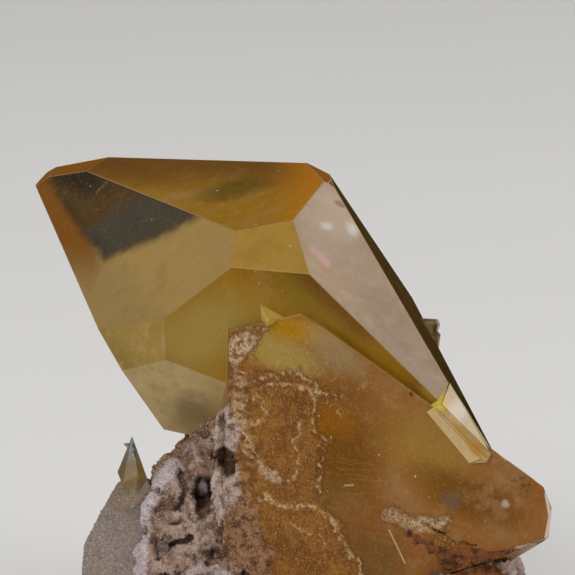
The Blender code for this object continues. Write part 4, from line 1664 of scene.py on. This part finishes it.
class CALCITE_OT_matrix(bpy.types.Operator):
    """Builds the porous matrix and its grains"""

    bl_idname = "calcite.matrix"
    bl_label = "Matrix"

    def execute(self, context):
        look = context.scene.calcite_rock
        rock = new_piece("matrix_rock", rock_mesh(look.spacing, look.roughness), rock_material(look))
        grain = grain_material("rock_grain", (0.30, 0.20, 0.145), (0.56, 0.47, 0.42))
        grains = scattered("matrix_grains", rock, grain, look.grains, *ROCK_GRAINS)
        for part in (rock, grains):
            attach(part, "root")
            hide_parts("matrix")
        return {"FINISHED"}


class CALCITE_OT_frosted_crystal(bpy.types.Operator):
    """Builds the frosted crystal and the dog-tooth crystal on it"""

    bl_idname = "calcite.frosted_crystal"
    bl_label = "Frosted crystal"

    def execute(self, context):
        look = context.scene.calcite_frost
        body = new_piece("frosted_body", frosted_mesh(look.spacing, look.sand), frosted_material(look))
        grain = grain_material("frost_grain", (0.20, 0.155, 0.125), (0.46, 0.39, 0.35))
        grains = scattered("frosted_grains", body, grain, look.grains, *FROST_GRAINS)
        clear = tooth_material(context.scene.calcite_honey)
        tooth_mesh = mesh_from(small_crystal(DOG_TOOTH, TOOTH_SLENDER), "dog_tooth")
        tooth = new_piece("dog_tooth", tooth_mesh, clear)
        nub = new_piece("dog_tooth_nub", mesh_from(small_crystal(NUB), "dog_tooth_nub"), clear)
        for part in (body, grains, tooth, nub):
            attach(part, "root")
            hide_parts("frosted_crystal")
        return {"FINISHED"}


class CALCITE_OT_stage(bpy.types.Operator):
    """Builds the floor, the lights and the camera"""

    bl_idname = "calcite.stage"
    bl_label = "Stage"

    def execute(self, context):
        look = context.scene.calcite_stage
        scene = context.scene
        n = Nodes("pale_floor")
        tint = n.mix(n.smooth(n.noise(0.25), 0.3, 0.7) * 0.3, tuple(look.floor), (0.68, 0.67, 0.655))
        glow = {"Emission Color": (*look.floor, 1.0), "Emission Strength": look.floor_glow}
        floor_look = n.finish(n.principled({"Base Color": tint, "Roughness": 0.7, **glow}))
        bm = bmesh.new()
        profile = [(FLOOR_FRONT, 0.0), (CURVE_START, 0.0)]
        for degrees in range(10, 91, 10):
            turn = math.radians(degrees)
            profile.append(
                (CURVE_START + CURVE_RADIUS * math.sin(turn), CURVE_RADIUS - CURVE_RADIUS * math.cos(turn))
            )
        profile.append((CURVE_START + CURVE_RADIUS, WALL_TOP))
        rows = [[bm.verts.new((x, y, z)) for y, z in profile] for x in (-HALF_FLOOR, HALF_FLOOR)]
        for i in range(len(profile) - 1):
            bm.faces.new((rows[0][i], rows[1][i], rows[1][i + 1], rows[0][i + 1]))
        floor_mesh = mesh_from(bm, "floor")
        floor_mesh.shade_smooth()
        floor = new_piece("floor", floor_mesh, floor_look)

        for name, place, size, setting in LIGHTS:
            data = bpy.data.lights.new(name, "AREA")
            data.shape = "SQUARE"
            data.size = size
            data.energy = getattr(look, setting)
            light = bpy.data.objects.new(name, data)
            light.location = place
            aim = LIT_PLACE - Vector(place)
            light.rotation_euler = aim.to_track_quat("-Z", "Y").to_euler()
            scene.collection.objects.link(light)

        world = bpy.data.worlds.new("studio")
        world.use_nodes = True
        background = world.node_tree.nodes["Background"]
        background.inputs["Color"].default_value = (0.93, 0.94, 0.96, 1.0)
        background.inputs["Strength"].default_value = look.ambient
        scene.world = world
        scene.view_settings.view_transform = "Standard"

        lens = bpy.data.cameras.new("camera")
        lens.sensor_width = SENSOR_WIDTH
        lens.lens = SENSOR_WIDTH * VIEW_DISTANCE / (2.0 * HALF_STEPS * STEP)
        lens.clip_start = 0.01
        lens.clip_end = 20.0
        camera = bpy.data.objects.new("camera", lens)
        camera.location = EYE
        camera.rotation_euler = (math.pi / 2.0 - VIEW_DOWN, 0.0, 0.0)
        scene.collection.objects.link(camera)
        scene.camera = camera
        return {"FINISHED"}


class CALCITE_PT_panel(bpy.types.Panel):
    """Lists the pieces of the calcite specimen"""

    bl_idname = "CALCITE_PT_panel"
    bl_label = "Calcite"
    bl_space_type = "VIEW_3D"
    bl_region_type = "UI"
    bl_category = "Calcite"

    def draw(self, context):
        for settings, operator in zip(SETTINGS, OPERATORS):
            box = self.layout.box()
            look = getattr(context.scene, settings)
            for name in look.bl_rna.properties.keys():
                if name not in ("rna_type", "name"):
                    box.prop(look, name)
            box.operator(operator.bl_idname)


SETTINGS = {
    "calcite_honey": HoneyLook,
    "calcite_crust": CrustLook,
    "calcite_rock": RockLook,
    "calcite_frost": FrostLook,
    "calcite_stage": StageLook,
}
OPERATORS = (
    CALCITE_OT_honey_crystals,
    CALCITE_OT_crusts,
    CALCITE_OT_matrix,
    CALCITE_OT_frosted_crystal,
    CALCITE_OT_stage,
)
CLASSES = (*SETTINGS.values(), *OPERATORS, CALCITE_PT_panel)


def register():
    """Registers the settings, the operators and the panel."""
    for item in CLASSES:
        bpy.utils.register_class(item)
    for name, settings in SETTINGS.items():
        setattr(bpy.types.Scene, name, bpy.props.PointerProperty(type=settings))


def unregister():
    """Takes them away again."""
    for name in SETTINGS:
        delattr(bpy.types.Scene, name)
    for item in reversed(CLASSES):
        bpy.utils.unregister_class(item)


def main():
    """Builds every piece in order."""
    register()
    bpy.ops.calcite.honey_crystals()
    bpy.ops.calcite.crusts()
    bpy.ops.calcite.matrix()
    bpy.ops.calcite.frosted_crystal()
    bpy.ops.calcite.stage()


if __name__ == "__main__":
    main()
